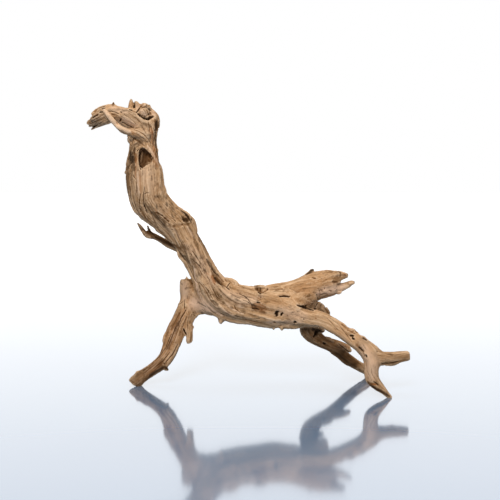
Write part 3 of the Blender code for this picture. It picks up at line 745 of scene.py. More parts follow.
def beetle_holes(tree, given, position, normal):
    """The mask of round holes, scattered over the side that the photograph doesn't show."""
    away_from_camera = add(tree, "ShaderNodeSeparateXYZ", (normal,), "Y")
    behind = add(
        tree, "FunctionNodeCompare", (away_from_camera, HOLES_FACE), data_type="FLOAT",
        operation="GREATER_THAN",
    )
    middles = add(tree, "GeometryNodeDistributePointsOnFaces", {
        "Mesh": given["Geometry"], "Selection": behind, "Density": given["Hole density"],
        "Seed": given["Hole seed"],
    }, distribute_method="RANDOM")
    away = add(tree, "GeometryNodeProximity", (middles,), "Distance", target_element="POINTS")
    patchy = add(tree, NOISE, {"Vector": position, "Scale": 1 / (HOLE_PATCH * MM)})
    radius = add(tree, MATH, (given["Hole radius"], 2 * MM), operation="MULTIPLY")
    radius = add(tree, MATH, (radius, patchy), operation="MULTIPLY")
    share = add(tree, MATH, (away, radius), operation="DIVIDE")
    return add(tree, RANGE, (share, HOLE_CORE, 1.0, 1.0, 0.0), interpolation_type="SMOOTHSTEP")


def relief_tree(material):
    """Geometry Nodes that raise ridges and cut furrows, fissures and beetle holes along the grain."""
    tree = bpy.data.node_groups.new("grain relief", "GeometryNodeTree")
    for way in ("INPUT", "OUTPUT"):
        tree.interface.new_socket("Geometry", in_out=way, socket_type="NodeSocketGeometry")
    for name, size in RELIEF.items():
        tree.interface.new_socket(name, in_out="INPUT", socket_type="NodeSocketFloat").default_value = size
    tree.interface.new_socket("Hole seed", in_out="INPUT", socket_type="NodeSocketInt")
    given = add(tree, "NodeGroupInput").node.outputs
    position = add(tree, "GeometryNodeInputPosition")
    normal = add(tree, "GeometryNodeInputNormal")
    height, stoutness, crack = raised_and_cut(tree, given, position)
    hole = beetle_holes(tree, given, position, normal)
    depth = add(tree, MATH, (hole, given["Hole depth"]), operation="MULTIPLY")
    depth = add(tree, MATH, (depth, stoutness), operation="MULTIPLY")
    moved = add(tree, MATH, (height, depth), operation="SUBTRACT")
    moved = add(tree, MATH, (moved, MM), operation="MULTIPLY")
    offset = add(tree, VECTOR_MATH, {0: normal, "Scale": moved}, operation="SCALE")
    shape = add(tree, "GeometryNodeSetPosition", {"Geometry": given["Geometry"], "Offset": offset})
    for name, mask in {"crack": crack, "hole": hole}.items():
        shape = add(tree, STORE, {"Geometry": shape, "Name": name, "Value": mask}, data_type="FLOAT")
    shape = add(tree, "GeometryNodeRealizeInstances", (shape,))
    shape = add(tree, "GeometryNodeSetMaterial", {"Geometry": shape, "Material": material})
    add(tree, "NodeGroupOutput", (shape,))
    return tree


def raise_grain(wood, material):
    """Gives the skin its grain and the relief that follows it."""
    places = places_of(wood.data)
    grain, girth, wholeness = grain_of(places)
    noise.seed_set(WANDER_SEED)
    for amount, size in WANDER:
        drift = np.array([noise.noise_vector(Vector(p) / (size * MM)) for p in places])
        grain += drift * amount
    set_attribute(wood.data, "grain", grain)
    set_attribute(wood.data, "girth", girth)
    set_attribute(wood.data, "clear", ramp(wholeness, *CLEAR_OF_FORKS))
    relief = wood.modifiers.new("Relief", "NODES")
    relief.node_group = relief_tree(material)
    inputs = {s.name: s.identifier for s in relief.node_group.interface.items_tree if s.in_out == "INPUT"}
    for name, size in RELIEF.items():
        relief[inputs[name]] = size
    relief[inputs["Hole seed"]] = HOLE_SEED
    applied(wood)


# The marks. Each follows a line of pixels of the photograph, over the wood that the camera sees there:
# the name of its mask, how strong that is, half its width and its depth in mm, then the pixels. A depth
# below 0 stands out

# The stretches that are grimy and deeply grained, where the rest is bleached and smooth
WEATHERED = [
    ("weather", 1.0, 14, 0, (131, 149), (132, 166)),
    ("weather", 0.7, 11, 0, (127, 168), (129, 188), (134, 208)),
    ("weather", 0.65, 22, 0, (142, 206), (160, 222)),
    ("weather", 0.55, 20, 0, (168, 200), (186, 220)),
    ("weather", 0.3, 18, 0, (164, 236), (180, 246)),
    ("weather", 0.6, 20, 0, (184, 250), (204, 268), (222, 284)),
    ("weather", 0.35, 18, 0, (206, 292), (236, 302), (262, 308)),
    ("weather", 0.15, 14, 0, (222, 316), (260, 322), (300, 325)),
    ("weather", 0.65, 17, 0, (178, 318), (168, 346)),
    ("weather", 1.0, 20, 0, (162, 362), (136, 382)),
    ("weather", 0.8, 26, 0, (306, 332), (330, 348), (355, 363)),
    ("weather", 0.5, 14, 0, (384, 362), (409, 358)),
    ("weather", 0.8, 11, 0, (90, 122), (100, 112)),
    ("weather", 0.6, 6, 0, (157, 122), (157, 130)),
    ("weather", 0.25, 16, 0, (132, 106), (150, 110)),
    ("weather", 1.0, 8, 0, (180, 248), (150, 235), (139, 224)),
    ("weather", 0.8, 9, 0, (156, 146), (157.5, 168)),
    ("weather", 0.8, 9, 0, (372, 386), (386, 395)),
]
# Broad tints of whole stretches. Among them are painted shade on the back leg and painted light on two shaded
# stretches, under the belly's right end and under the upper stub
BROAD_TINTS = [
    ("ochre", 0.8, 26, 0, (303, 288), (330, 282)),
    ("ochre", 0.6, 20, 0, (345, 330), (356, 342)),
    ("pale", 0.75, 17, 0, (364, 350), (371, 364), (371, 376)),
    ("ochre", 1.0, 16, 0, (366, 352), (371, 366), (371, 378)),
    # Painted shade on the lower back leg, which the trunk shades
    ("dark", 0.5, 14, 0, (338, 354), (347, 360), (354, 365)),
    ("pale", 1.0, 18, 0, (194, 303), (206, 308)),
    ("ochre", 0.8, 16, 0, (190, 300), (204, 308)),
    ("pale", 0.6, 12, 0, (184, 285), (185, 297)),
    ("pale", 0.3, 16, 0, (147, 172), (150, 188)),
    ("brown", 0.6, 2.8, 0.3, (160.4, 168), (162, 178), (162, 186)),
    ("orange", 0.5, 1.6, 0, (139.6, 170), (140, 182), (141, 194)),
    ("pale", 0.5, 15, 0, (226, 292), (240, 299), (254, 300)),
    # Painted light: these two pale stretches lighten the belly's lower right end and the underside of the
    # upper stub, where the wood is shaded
    ("pale", 0.6, 9, 0, (268, 322), (284, 322.6), (302, 321)),
    ("pale", 1.0, 14, 0, (320, 293), (330, 290.4), (342, 287.4)),
    ("pale", 0.5, 14, 0, (282, 310), (292, 314), (304, 316)),
    ("charcoal", 1.0, 5, 0, (306.6, 274.4), (310.6, 271.4), (313.6, 269)),
    ("dark", 0.7, 4.6, 0, (307.6, 273.8), (311.4, 270.8), (314, 268.6)),
    ("ochre", 1.0, 22, 0, (184, 312), (172, 335), (160, 362)),
    ("ochre", 0.45, 26, 0, (262, 308), (300, 300)),
    ("grey", 0.3, 20, 0, (150, 200), (164, 220)),
    ("grey", 0.4, 16, 0, (132, 200), (140, 214)),
    ("grey", 0.4, 12, 0, (124, 118), (135, 122)),
    ("grey", 0.4, 10, 0, (92, 122), (103, 117)),
    # Brown along the back leg, partly its own colour and partly painted shade, as the trunk shades it
    ("brown", 0.7, 26, 0, (304, 328), (313, 337), (340, 352), (355, 363)),
    ("ochre", 1.0, 26, 0, (304, 328), (313, 337), (340, 352), (355, 363)),
    ("brown", 0.45, 18, 0, (138, 382), (160, 366)),
    ("charcoal", 0.3, 16, 0, (133, 379), (146, 372)),
    ("brown", 0.9, 2.0, 0.2, (130, 380), (135, 383.6), (140, 386)),
    ("brown", 0.45, 8, 0, (156, 146), (157.5, 166)),
    ("orange", 0.3, 8, 0, (153.5, 150), (156.5, 166)),
    ("brown", 0.15, 12, 0, (133, 104), (150, 112)),
    ("brown", 0.3, 18, 0, (300, 292), (312, 298)),
    ("brown", 0.25, 15, 0, (384, 360), (408, 357)),
    # Painted shade, darker brown, on the lower back leg
    ("brown", 0.8, 22, 0, (338, 352), (354, 363)),
    ("orange", 0.22, 24, 0, (184, 314), (172, 335), (160, 362), (142, 378)),
    ("pale", 0.35, 15, 0, (186, 246), (200, 262), (212, 280)),
    ("pale", 0.5, 9, 0, (112, 107.6), (126, 111)),
]
# The head and its strand
HEAD_MARKS = [
    ("pale", 1.0, 5.6, -1.2, (104, 110), (108, 115), (112.5, 121), (118, 126.5), (124.5, 130), (130, 131.8)),
    ("ochre", 1.0, 6.0, -0.6, (122, 129.5), (132, 132.6), (143, 136.4)),
    ("grey", 0.4, 3.0, 0, (140, 137.6), (148, 142)),
    ("brown", 0.8, 1.2, 0.9, (134, 129.4), (139, 131.4), (144, 134.6), (148, 139)),
    ("brown", 0.6, 1.0, 0.5, (131, 131.4), (138, 134.4), (143.6, 138.6), (148, 143)),
    ("brown", 0.5, 1.0, 0.4, (133, 134.6), (138, 137.6), (143.4, 142)),
    ("brown", 0.5, 1.6, 0.7, (133.5, 138.2), (139, 141.8), (144, 145.4)),
    ("dark", 0.5, 1.0, 0.6, (148.4, 139), (150.4, 142.4), (150.6, 145.4)),
    ("grey", 0.7, 4.4, 0, (141, 125), (145, 132), (149, 138)),
    ("brown", 0.6, 1.0, 0.5, (142, 126), (146, 133)),
    ("brown", 0.6, 1.0, 0.5, (145.6, 123), (148.2, 130), (150.2, 137)),
    ("orange", 0.8, 1.6, 0, (131.6, 132.8), (134.6, 133.8)),
    # Painted shadow along the lower edge of the strand
    ("dark", 0.8, 1.2, 1.2, (111.5, 124.5), (119, 130), (126, 135), (133.5, 137.7)),
    ("dark", 0.95, 1.5, 1.8, (105.2, 115.4), (106.8, 117.6), (107.6, 119.4)),
    ("dark", 0.7, 1.2, 1.4, (108, 111.2), (112, 111), (116, 112.2), (119, 113.8)),
    ("pit", 0.8, 1.4, 1.2, (120.8, 112), (121.8, 112.1)),
    ("brown", 1.0, 2.6, 1.2, (121, 119.2), (120.2, 121.6)),
    ("dark", 0.5, 1.6, 0.6, (120.8, 119.8), (120.2, 121.6)),
    ("brown", 0.5, 1.8, 0.8, (122.4, 122.6), (128, 125.8), (133, 128)),
    ("pale", 0.6, 7.0, -0.5, (124, 118.6), (130, 122.4), (135, 125.6)),
    ("brown", 0.6, 2.4, 0.8, (112, 114), (118, 116)),
    ("pit", 1.0, 1.6, 2.0, (102.4, 108.7), (104.8, 108)),
    ("pit", 1.0, 1.6, 2.0, (100, 112.3), (102.4, 111.9)),
    ("dark", 1.0, 1.7, 1.6, (97, 108.4), (101, 107), (105.2, 105.8)),
    ("brown", 0.8, 2.4, 0.8, (94.6, 111.4), (96.4, 109.6)),
    ("dark", 1.0, 1.6, 2.2, (92.8, 117.8), (95.5, 116.1), (98.2, 114.6)),
    ("orange", 0.8, 1.6, 0, (95, 116), (98, 114)),
    ("brown", 0.6, 3.0, 0, (87.5, 122.4), (91, 122.8)),
    ("brown", 0.6, 1.2, 0.4, (104.6, 113.6), (98, 118), (90, 121.4)),
    ("brown", 0.6, 1.2, 0.4, (105.6, 116.6), (99, 120.4), (91, 123.8)),
    ("brown", 0.5, 1.2, 0.4, (107, 119.6), (101, 122.6), (97, 124.2)),
    ("pale", 0.4, 1.4, -0.3, (104, 115), (97, 119.4), (91, 122.4)),
    ("brown", 1.0, 3.4, 0, (113, 105), (113.3, 103)),
    ("dark", 0.6, 2.6, 0, (112.8, 104.6), (113.3, 103)),
    ("dark", 1.0, 2.2, 2.4, (91.4, 129), (94, 127.2), (97.4, 125.2)),
    ("dark", 0.35, 0.8, 0.5, (124, 114), (131, 119), (136, 124)),
    ("brown", 0.5, 1.2, 0.4, (128, 112.5), (136, 118), (142, 124)),
    ("dark", 0.3, 0.8, 0.4, (120, 115), (126, 119.6)),
]
# The knob
KNOB_MARKS = [
    ("pale", 0.3, 3.2, -1.6, (142.4, 104.6), (145.8, 104.8)),
    ("pale", 0.3, 2.6, -1.6, (148.6, 107.9), (150.4, 108)),
    ("dark", 1.0, 2.5, 3.8, (133.7, 101.4), (133.9, 104.5), (134, 107.6)),
    ("pit", 1.0, 2.2, 2.4, (129.8, 109.2), (131.4, 109.6)),
    ("brown", 0.9, 2.0, 1.2, (130.6, 109.8), (133.5, 110.8), (136.4, 112.4)),
    ("dark", 1.0, 1.4, 2.4, (136.6, 112.4), (138.4, 109.8), (139.6, 107.6)),
    ("brown", 0.8, 1.4, 1.0, (139.6, 107.6), (142, 105.6), (144, 104)),
    ("dark", 0.5, 1.0, 1.0, (141.2, 107.4), (144.4, 107), (147.4, 107.8)),
    ("dark", 1.0, 2.2, 2.8, (147, 107.6), (148.6, 109.4), (151, 109.8)),
    ("brown", 0.8, 2.6, 0.6, (149.6, 111.4), (150.4, 114)),
    ("dark", 1.0, 2.2, 3.2, (138, 113.4), (140.6, 115.9)),
    ("dark", 1.0, 3.2, 4.0, (140.6, 115.9), (144.6, 118), (148.7, 118.8), (150.7, 117.2), (153, 116)),
    ("pale", 0.9, 4.6, -0.5, (140.6, 110.6), (143, 112.2), (145.4, 114.4)),
    ("brown", 0.6, 1.2, 0.6, (143.6, 109.4), (145.4, 112), (146.6, 115.4)),
    ("brown", 0.5, 1.2, 0.4, (139.6, 112.4), (142.4, 111.4), (143.8, 113.6)),
    ("pale", 0.6, 3.4, 0, (136.6, 103.4), (138, 107), (136.6, 109.6)),
    ("ochre", 0.6, 5.0, 0, (130.6, 102), (130, 106)),
    ("brown", 0.8, 2.4, 0.8, (147, 110), (147.8, 112.6), (149, 115)),
    ("brown", 0.6, 1.2, 0.5, (141, 107.2), (144, 107.6), (146, 107.4)),
    ("dark", 0.8, 1.2, 0.8, (145.6, 104), (146.8, 105.6)),
    ("dark", 0.7, 1.8, 1.2, (153.4, 128.2), (155, 131), (156.6, 133)),
    # Painted shade on the lower right of the ear
    ("brown", 1.0, 7.0, 1.2, (156, 121.4), (156.6, 125), (156, 129)),
    ("dark", 0.8, 4.0, 0.6, (157, 121.4), (157.4, 125), (156.8, 130)),
    ("pale", 0.6, 6.0, 0, (153.4, 112.6), (155.4, 116)),
    ("ochre", 0.8, 8.0, 0, (152, 118), (154.6, 124), (154, 129)),
]
# The neck
NECK_MARKS = [
    ("brown", 1.0, 10.5, 1.6, (144.4, 151), (145.6, 156), (144.4, 161), (142, 165.6)),
    ("brown", 1.0, 6.0, 2.0, (148, 153.5), (149.6, 159.6)),
    ("brown", 1.0, 3.4, 2.0, (150.6, 154), (152.2, 158.4), (151.2, 161.6)),
    ("dark", 0.5, 9.0, 0.5, (144, 151), (144, 158), (143, 164)),
    ("dark", 0.8, 2.4, 1.2, (140.6, 152.6), (140.2, 158), (140.6, 165.5)),
    ("ochre", 0.4, 1.6, -1.8, (142.6, 152.4), (141.8, 157), (141.2, 162)),
    ("dark", 0.9, 1.8, 1.6, (141.6, 164), (142.2, 168)),
    ("dark", 0.8, 3.4, 0.8, (155.6, 132), (155.6, 139), (156.6, 149), (158.4, 156)),
    ("brown", 0.2, 8.2, 1.4, (158.6, 152), (160, 163)),
    ("charcoal", 0.5, 8.2, 1.9, (128.6, 149), (127.4, 158), (127.4, 167)),
    ("orange", 0.65, 6.0, 0.2, (151, 130), (152.4, 135), (153, 142), (154.6, 150)),
    ("dark", 0.5, 1.2, 0.8, (148.6, 127), (150.4, 133), (151, 140)),
    ("brown", 0.7, 1.8, 0.8, (150.8, 124.6), (152.4, 131), (152.8, 138), (154, 146)),
    ("brown", 0.7, 1.4, 0.8, (148.2, 121.6), (149.4, 127), (150.2, 134)),
    ("dark", 0.85, 3.0, 0.4, (158, 152), (160.2, 159), (162.4, 166), (163.6, 174)),
    ("grey", 0.8, 5.0, 0.4, (131, 146), (136, 143.5), (142, 142.5)),
    ("dark", 0.45, 0.8, 0.7, (130.6, 148.5), (134, 144.5), (139, 141.8)),
    ("dark", 0.45, 0.8, 0.7, (133, 150.5), (137, 146.5), (142, 144.5)),
    ("charcoal", 1.0, 8.0, 0.5, (129.6, 153.6), (131, 162)),
    ("dark", 0.6, 7.0, 0, (130, 153.6), (132.4, 161)),
    ("charcoal", 0.5, 4.4, 0.3, (131.4, 149.6), (135, 145.4), (141, 142.4)),
    ("brown", 0.8, 3.6, 0.5, (134.6, 153), (135, 162)),
    ("dark", 0.9, 0.9, 1.2, (137, 151), (139, 149.4)),
    ("orange", 0.9, 1.3, -0.3, (136.1, 153.8), (136.2, 164.6), (135.2, 178)),
    ("pale", 1.0, 3.2, -0.9, (147.6, 145.8), (153.2, 154), (157, 161.5), (160, 167.5)),
    ("dark", 1.0, 1.2, 1.6, (140.2, 167), (141, 169.6)),
]
# The upper trunk
UPPER_TRUNK_MARKS = [
    ("dark", 0.7, 0.8, 0.9, (132.5, 174.5), (134, 177), (136, 179.5)),
    ("dark", 0.5, 0.9, 0.7, (132, 169), (132.4, 177), (131.4, 184)),
    ("dark", 0.3, 0.8, 0.4, (142.5, 168), (143, 176)),
    ("dark", 0.35, 0.7, 0.6, (148.5, 167), (149.4, 176)),
    ("dark", 0.5, 0.8, 0.8, (136, 181), (136.6, 190), (135, 196)),
    ("pale", 0.8, 2.2, -0.5, (137.8, 172), (138.2, 185), (139.2, 195)),
    ("brown", 0.6, 4.2, 0.4, (158, 184), (162, 190)),
    ("dark", 0.7, 0.8, 1.0, (143.4, 194.6), (146, 193), (149.2, 192.7)),
    ("dark", 0.75, 0.9, 1.2, (144.6, 187), (143, 196.5), (144, 206), (147.4, 214)),
    ("dark", 0.8, 1.5, 1.4, (144.4, 205), (147, 213)),
    ("dark", 0.6, 1.2, 1.1, (140.2, 194), (139.4, 202.5), (140.4, 212)),
    ("dark", 0.45, 1.0, 0.9, (133.4, 198), (136, 209), (141, 217)),
    ("dark", 0.5, 1.0, 0.9, (129.8, 186), (130.6, 198), (134, 209)),
    ("brown", 0.7, 3.4, 0.8, (140, 209), (145.5, 218)),
    ("brown", 0.7, 1.8, 0.6, (149, 209), (153, 218), (158, 228)),
    ("charcoal", 0.4, 6.0, 0.2, (150, 205), (156, 214), (164, 224)),
    ("charcoal", 0.9, 3.2, 0.4, (156.6, 205.4), (157, 208.4)),
    ("charcoal", 0.9, 3.2, 0.4, (166.8, 202.8), (167.2, 205.6)),
    ("charcoal", 0.5, 3.0, 0.3, (155, 196.6), (161, 196.4)),
    ("brown", 0.8, 2.0, 0.8, (155, 212.4), (160, 214)),
    ("brown", 1.0, 2.6, 0.9, (157.2, 212.2), (159.8, 214.2)),
    ("dark", 0.6, 1.4, 0.5, (157.8, 212.8), (159, 213.8)),
    ("dark", 0.9, 1.8, 0.9, (161.4, 215), (163, 215.8)),
    ("brown", 1.0, 2.8, 1.0, (164.2, 217), (166.6, 218.8), (168.8, 221.6)),
    ("dark", 0.7, 1.5, 0.6, (164.6, 217.6), (166.4, 218.6)),
    ("dark", 0.6, 1.4, 0.4, (167.8, 220.2), (168.6, 221.4)),
    ("brown", 0.6, 1.7, 0.5, (157, 212.6), (160, 214.4), (163.4, 216), (166, 218.6), (168.8, 221.8)),
    ("brown", 0.5, 1.8, 0.3, (154.6, 213.4), (156.6, 215.4)),
    ("pale", 0.6, 1.2, 0, (167, 217.8), (168.4, 219.6)),
    ("orange", 0.8, 1.8, 0, (155.4, 210.4), (156.8, 211.6)),
    ("charcoal", 0.5, 1.8, 0.5, (170.4, 211), (172.6, 216), (175.4, 221.6)),
    # Painted shadow along the fold across the shoulder
    ("brown", 0.5, 4.0, 1.0, (173.5, 226.2), (178.4, 225.8), (182, 224.6)),
    ("brown", 0.25, 3.2, 0.7, (182, 224.8), (187, 224), (191, 223)),
    ("brown", 1.0, 6.6, 1.6, (184.2, 218.8), (187.6, 219)),
    ("pit", 0.8, 4.8, 1.4, (184.6, 219.4), (187.2, 219.6)),
    ("dark", 1.0, 2.4, 1.8, (181, 210), (185, 213.2), (188.4, 216.6), (190.6, 219.8), (191.6, 222)),
    ("dark", 0.9, 1.7, 1.2, (191.2, 219), (191.8, 220.2)),
    ("dark", 0.5, 0.9, 0.8, (171, 229.2), (173, 229.8)),
    ("pale", 0.5, 3.2, -0.8, (187, 226.4), (190, 231), (194, 238)),
    ("pale", 0.4, 3.0, -0.5, (174.4, 229.4), (178, 235), (181, 241)),
    ("brown", 0.7, 2.0, 0.6, (154.5, 224.6), (162.4, 234.5), (171.5, 242)),
    ("orange", 0.4, 1.8, 0, (168.5, 234.5), (174.5, 241)),
]
# The lower trunk
LOWER_TRUNK_MARKS = [
    ("dark", 0.8, 1.6, 1.8, (173.5, 243), (177, 249), (182, 256), (186.6, 262.4)),
    ("charcoal", 0.7, 4.2, 0.8, (184.5, 256.5), (187.5, 263)),
    ("brown", 0.6, 2.4, 0.5, (183.5, 246.5), (186.5, 250)),
    ("dark", 0.8, 1.2, 1.6, (187.5, 264), (190.4, 270), (194, 278), (198, 283)),
    ("pale", 0.5, 1.8, -0.8, (192.4, 253), (195, 258.5)),
    ("dark", 0.75, 0.8, 1.0, (192.6, 251.4), (196, 256), (198.6, 260.4)),
    ("dark", 0.6, 0.8, 0.9, (190.4, 252.8), (191.8, 256)),
    ("dark", 0.65, 0.8, 1.0, (191.8, 258.8), (196, 262.4), (199.6, 266), (203.2, 272.4)),
    ("dark", 0.3, 0.7, 0.6, (200, 262), (205, 271), (209, 280), (214, 290)),
    ("dark", 0.75, 4.0, 1.2, (207.4, 259.4), (210.6, 265.4), (214.6, 270.8), (219, 275.4)),
    ("brown", 0.9, 4.4, 0.8, (212, 269), (219, 276.6), (223, 281)),
    ("dark", 0.9, 2.0, 0.8, (207, 259.6), (210.4, 265.4), (215, 271.4), (218, 274.6)),
    ("orange", 0.6, 1.4, 0, (206.6, 273), (208, 274.6)),
    ("orange", 0.9, 4.4, 0.2, (212, 276.4), (214.6, 283)),
    ("brown", 0.9, 6.4, 0.4, (214, 276), (218, 279.6), (223, 284)),
    ("dark", 0.8, 4.0, 1.2, (214.8, 278), (218, 281.4), (221.6, 284.4)),
    ("dark", 0.8, 1.1, 1.6, (229.6, 283.2), (228, 285.4), (227, 287)),
    ("dark", 1.0, 1.9, 2.4, (226.8, 286.8), (229.2, 289.4)),
    ("brown", 0.6, 3.4, 0.9, (220.4, 283), (226, 286.2)),
    (
        "pale", 0.95, 4.4, -1.2, (194.2, 266), (195.6, 278), (198.6, 292.6), (205.6, 303.4), (214, 310),
        (222, 315.6),
    ),
    ("brown", 0.8, 1.8, 0.8, (199, 282.2), (203.8, 287.6), (207.4, 294.8), (210.4, 300.2), (215.2, 305.5)),
    ("charcoal", 0.95, 3.4, 1.0, (213.4, 301), (217.6, 304.8)),
    ("dark", 0.5, 1.2, 1.0, (203, 284), (208, 290.5), (213, 299)),
    ("dark", 0.45, 0.9, 0.9, (212, 288), (217, 297), (221, 300)),
    ("brown", 0.8, 1.6, 0.6, (224.2, 308.5), (228, 311.6), (232, 314)),
    ("pale", 0.5, 3.0, -0.8, (226, 303), (233, 309.6), (243, 314)),
    ("pale", 0.5, 3.0, -0.8, (219, 305), (226, 311.6), (236, 317)),
    ("brown", 0.8, 1.2, 0.8, (234.4, 305), (235.4, 309), (240.3, 312.4)),
    ("pale", 0.5, 6.0, -0.7, (239, 305), (241, 306)),
    ("dark", 0.7, 1.2, 1.1, (237.3, 316.3), (242, 318.2), (246.3, 319.3)),
    ("charcoal", 0.3, 3.4, 0.4, (217, 312), (232, 319), (245, 322)),
    ("dark", 0.5, 1.0, 0.8, (253, 319), (260, 318.6)),
    ("charcoal", 0.7, 2.8, 0.6, (231, 293.2), (235, 296), (240.3, 298)),
    ("dark", 0.75, 1.1, 0.9, (239.4, 293.6), (244.6, 296), (248, 299), (250.6, 303), (252, 305.8)),
    ("dark", 0.6, 1.0, 0.8, (243, 300), (247, 301.4), (250.4, 304.4)),
    ("dark", 0.6, 0.8, 0.8, (221, 295), (221.4, 298)),
    ("brown", 0.4, 3.0, 0.3, (226, 300), (229, 302)),
]
# The right of the trunk
RIGHT_TRUNK_MARKS = [
    ("pit", 1.0, 2.9, 3.2, (258.8, 291.6), (260, 292.6)),
    ("dark", 0.7, 1.0, 0.8, (256.6, 287.6), (258.4, 290.6)),
    ("dark", 0.7, 1.0, 0.8, (260.6, 287.8), (260.2, 291)),
    ("brown", 1.0, 6.0, 1.6, (257, 288.6), (261, 291.6)),
    ("brown", 0.8, 2.4, 1.2, (261.6, 292.8), (265, 291), (268.6, 288.6)),
    ("brown", 0.45, 5.0, 1.4, (268, 288.4), (275, 288.4), (282, 288.8)),
    ("pale", 0.5, 3.4, -0.8, (257.6, 296.6), (262, 297)),
    ("pit", 0.95, 2.0, 1.8, (257.2, 302.2), (259.6, 302.6)),
    ("orange", 0.45, 9.4, 0.4, (254.6, 306), (259, 306.6), (263.6, 308.4)),
    ("brown", 0.4, 9.0, 0, (255, 306.4), (263, 309)),
    ("dark", 0.7, 2.8, 0, (253.4, 304.6), (255.4, 306.4)),
    ("brown", 0.9, 4.0, 0.8, (253, 308.2), (258, 308), (262, 309.8)),
    ("brown", 0.8, 1.6, 0.4, (254.6, 303.6), (260, 304.6), (266, 307.4)),
    ("dark", 1.0, 1.8, 1.0, (252.2, 308.8), (255.4, 308.4), (259, 309.6)),
    ("dark", 0.8, 1.2, 0.8, (252, 304.6), (252.2, 308.6)),
    ("dark", 1.0, 2.3, 1.6, (279.6, 296.4), (285, 295.8), (289.6, 296.6)),
    ("brown", 0.9, 3.6, 0.4, (278.8, 295.8), (289.6, 296.2)),
    ("pit", 1.0, 3.2, 3.0, (275.8, 313.6), (277.4, 312.4)),
    ("pit", 1.0, 2.2, 2.4, (276.6, 315.8), (277.6, 313.8)),
    ("pit", 1.0, 2.2, 2.4, (281.2, 315), (282.6, 313.4)),
    ("brown", 0.9, 2.6, 1.0, (274, 322.4), (275, 323)),
    ("pit", 1.0, 2.9, 3.0, (294.8, 322.7), (295.4, 322.7)),
    ("pit", 0.8, 1.3, 1.6, (303.5, 319.1), (304, 319.3)),
    ("orange", 0.7, 1.4, 0.6, (315.5, 318.2), (316.3, 318.4)),
    ("brown", 0.6, 0.9, 0.6, (291, 313.4), (294.6, 312)),
    # Painted shadow in the crevice under the upper stub, over the top of the front leg, on top of the cut
    ("dark", 1.0, 2.6, 2.6, (297.4, 305), (300, 305.8), (303, 306.8)),
    ("pit", 1.0, 3.2, 0.8, (300, 306), (304, 307), (308, 307.8), (312, 309), (315, 309.6)),
    ("dark", 1.0, 4.0, 2.0, (302.8, 306.4), (307, 307), (310, 308.2), (313, 309.4), (315.6, 309.2)),
    ("dark", 0.9, 1.0, 1.6, (314, 309.4), (316.6, 305), (318.8, 301)),
    ("brown", 0.8, 2.4, 1.0, (312.6, 277.6), (315.6, 278.2)),
    ("dark", 0.6, 1.0, 0.9, (313.4, 278), (315.4, 278.4)),
    ("brown", 0.6, 1.0, 0.5, (320.8, 278.3), (321.6, 278.5)),
    # Painted shade on the rough underside of the upper stub: the brown marks down to its lower edge
    ("brown", 0.7, 3.0, 0.6, (320.4, 289.6), (322.6, 291.6)),
    ("brown", 0.8, 2.6, 0.5, (320, 295.4), (324, 293.6), (327.6, 294.6)),
    ("brown", 0.5, 1.8, 0.4, (318, 288.4), (320, 292.4), (319.6, 297)),
    ("brown", 0.7, 2.0, 0.7, (329.4, 290.6), (331.6, 291.2)),
    ("pale", 0.5, 2.4, -0.5, (323.4, 289), (326, 291.6)),
    ("brown", 0.6, 2.2, 0.4, (319, 299.6), (324, 296.6), (331, 295), (339, 293)),
    # Painted shade in the hollow under the knobby tip of the upper stub
    ("brown", 0.35, 6.0, 1.2, (334.6, 281), (337.4, 278.4)),
    ("brown", 0.9, 3.6, 0.8, (333, 281.8), (337.4, 282.4)),
    ("dark", 0.5, 1.6, 0.8, (334.6, 282.4), (337.6, 282.6)),
    ("dark", 1.0, 2.2, 2.0, (338.2, 271), (340.4, 272)),
    ("brown", 0.9, 1.8, 1.0, (340.4, 272), (340.6, 274.4), (339.8, 277.4)),
    ("pit", 0.8, 1.3, 0.8, (344.6, 275), (345.4, 275.2)),
    ("orange", 0.7, 3.2, 0, (343, 274), (346, 275.6)),
    ("brown", 0.8, 3.0, 0.4, (326, 309), (328, 314)),
]
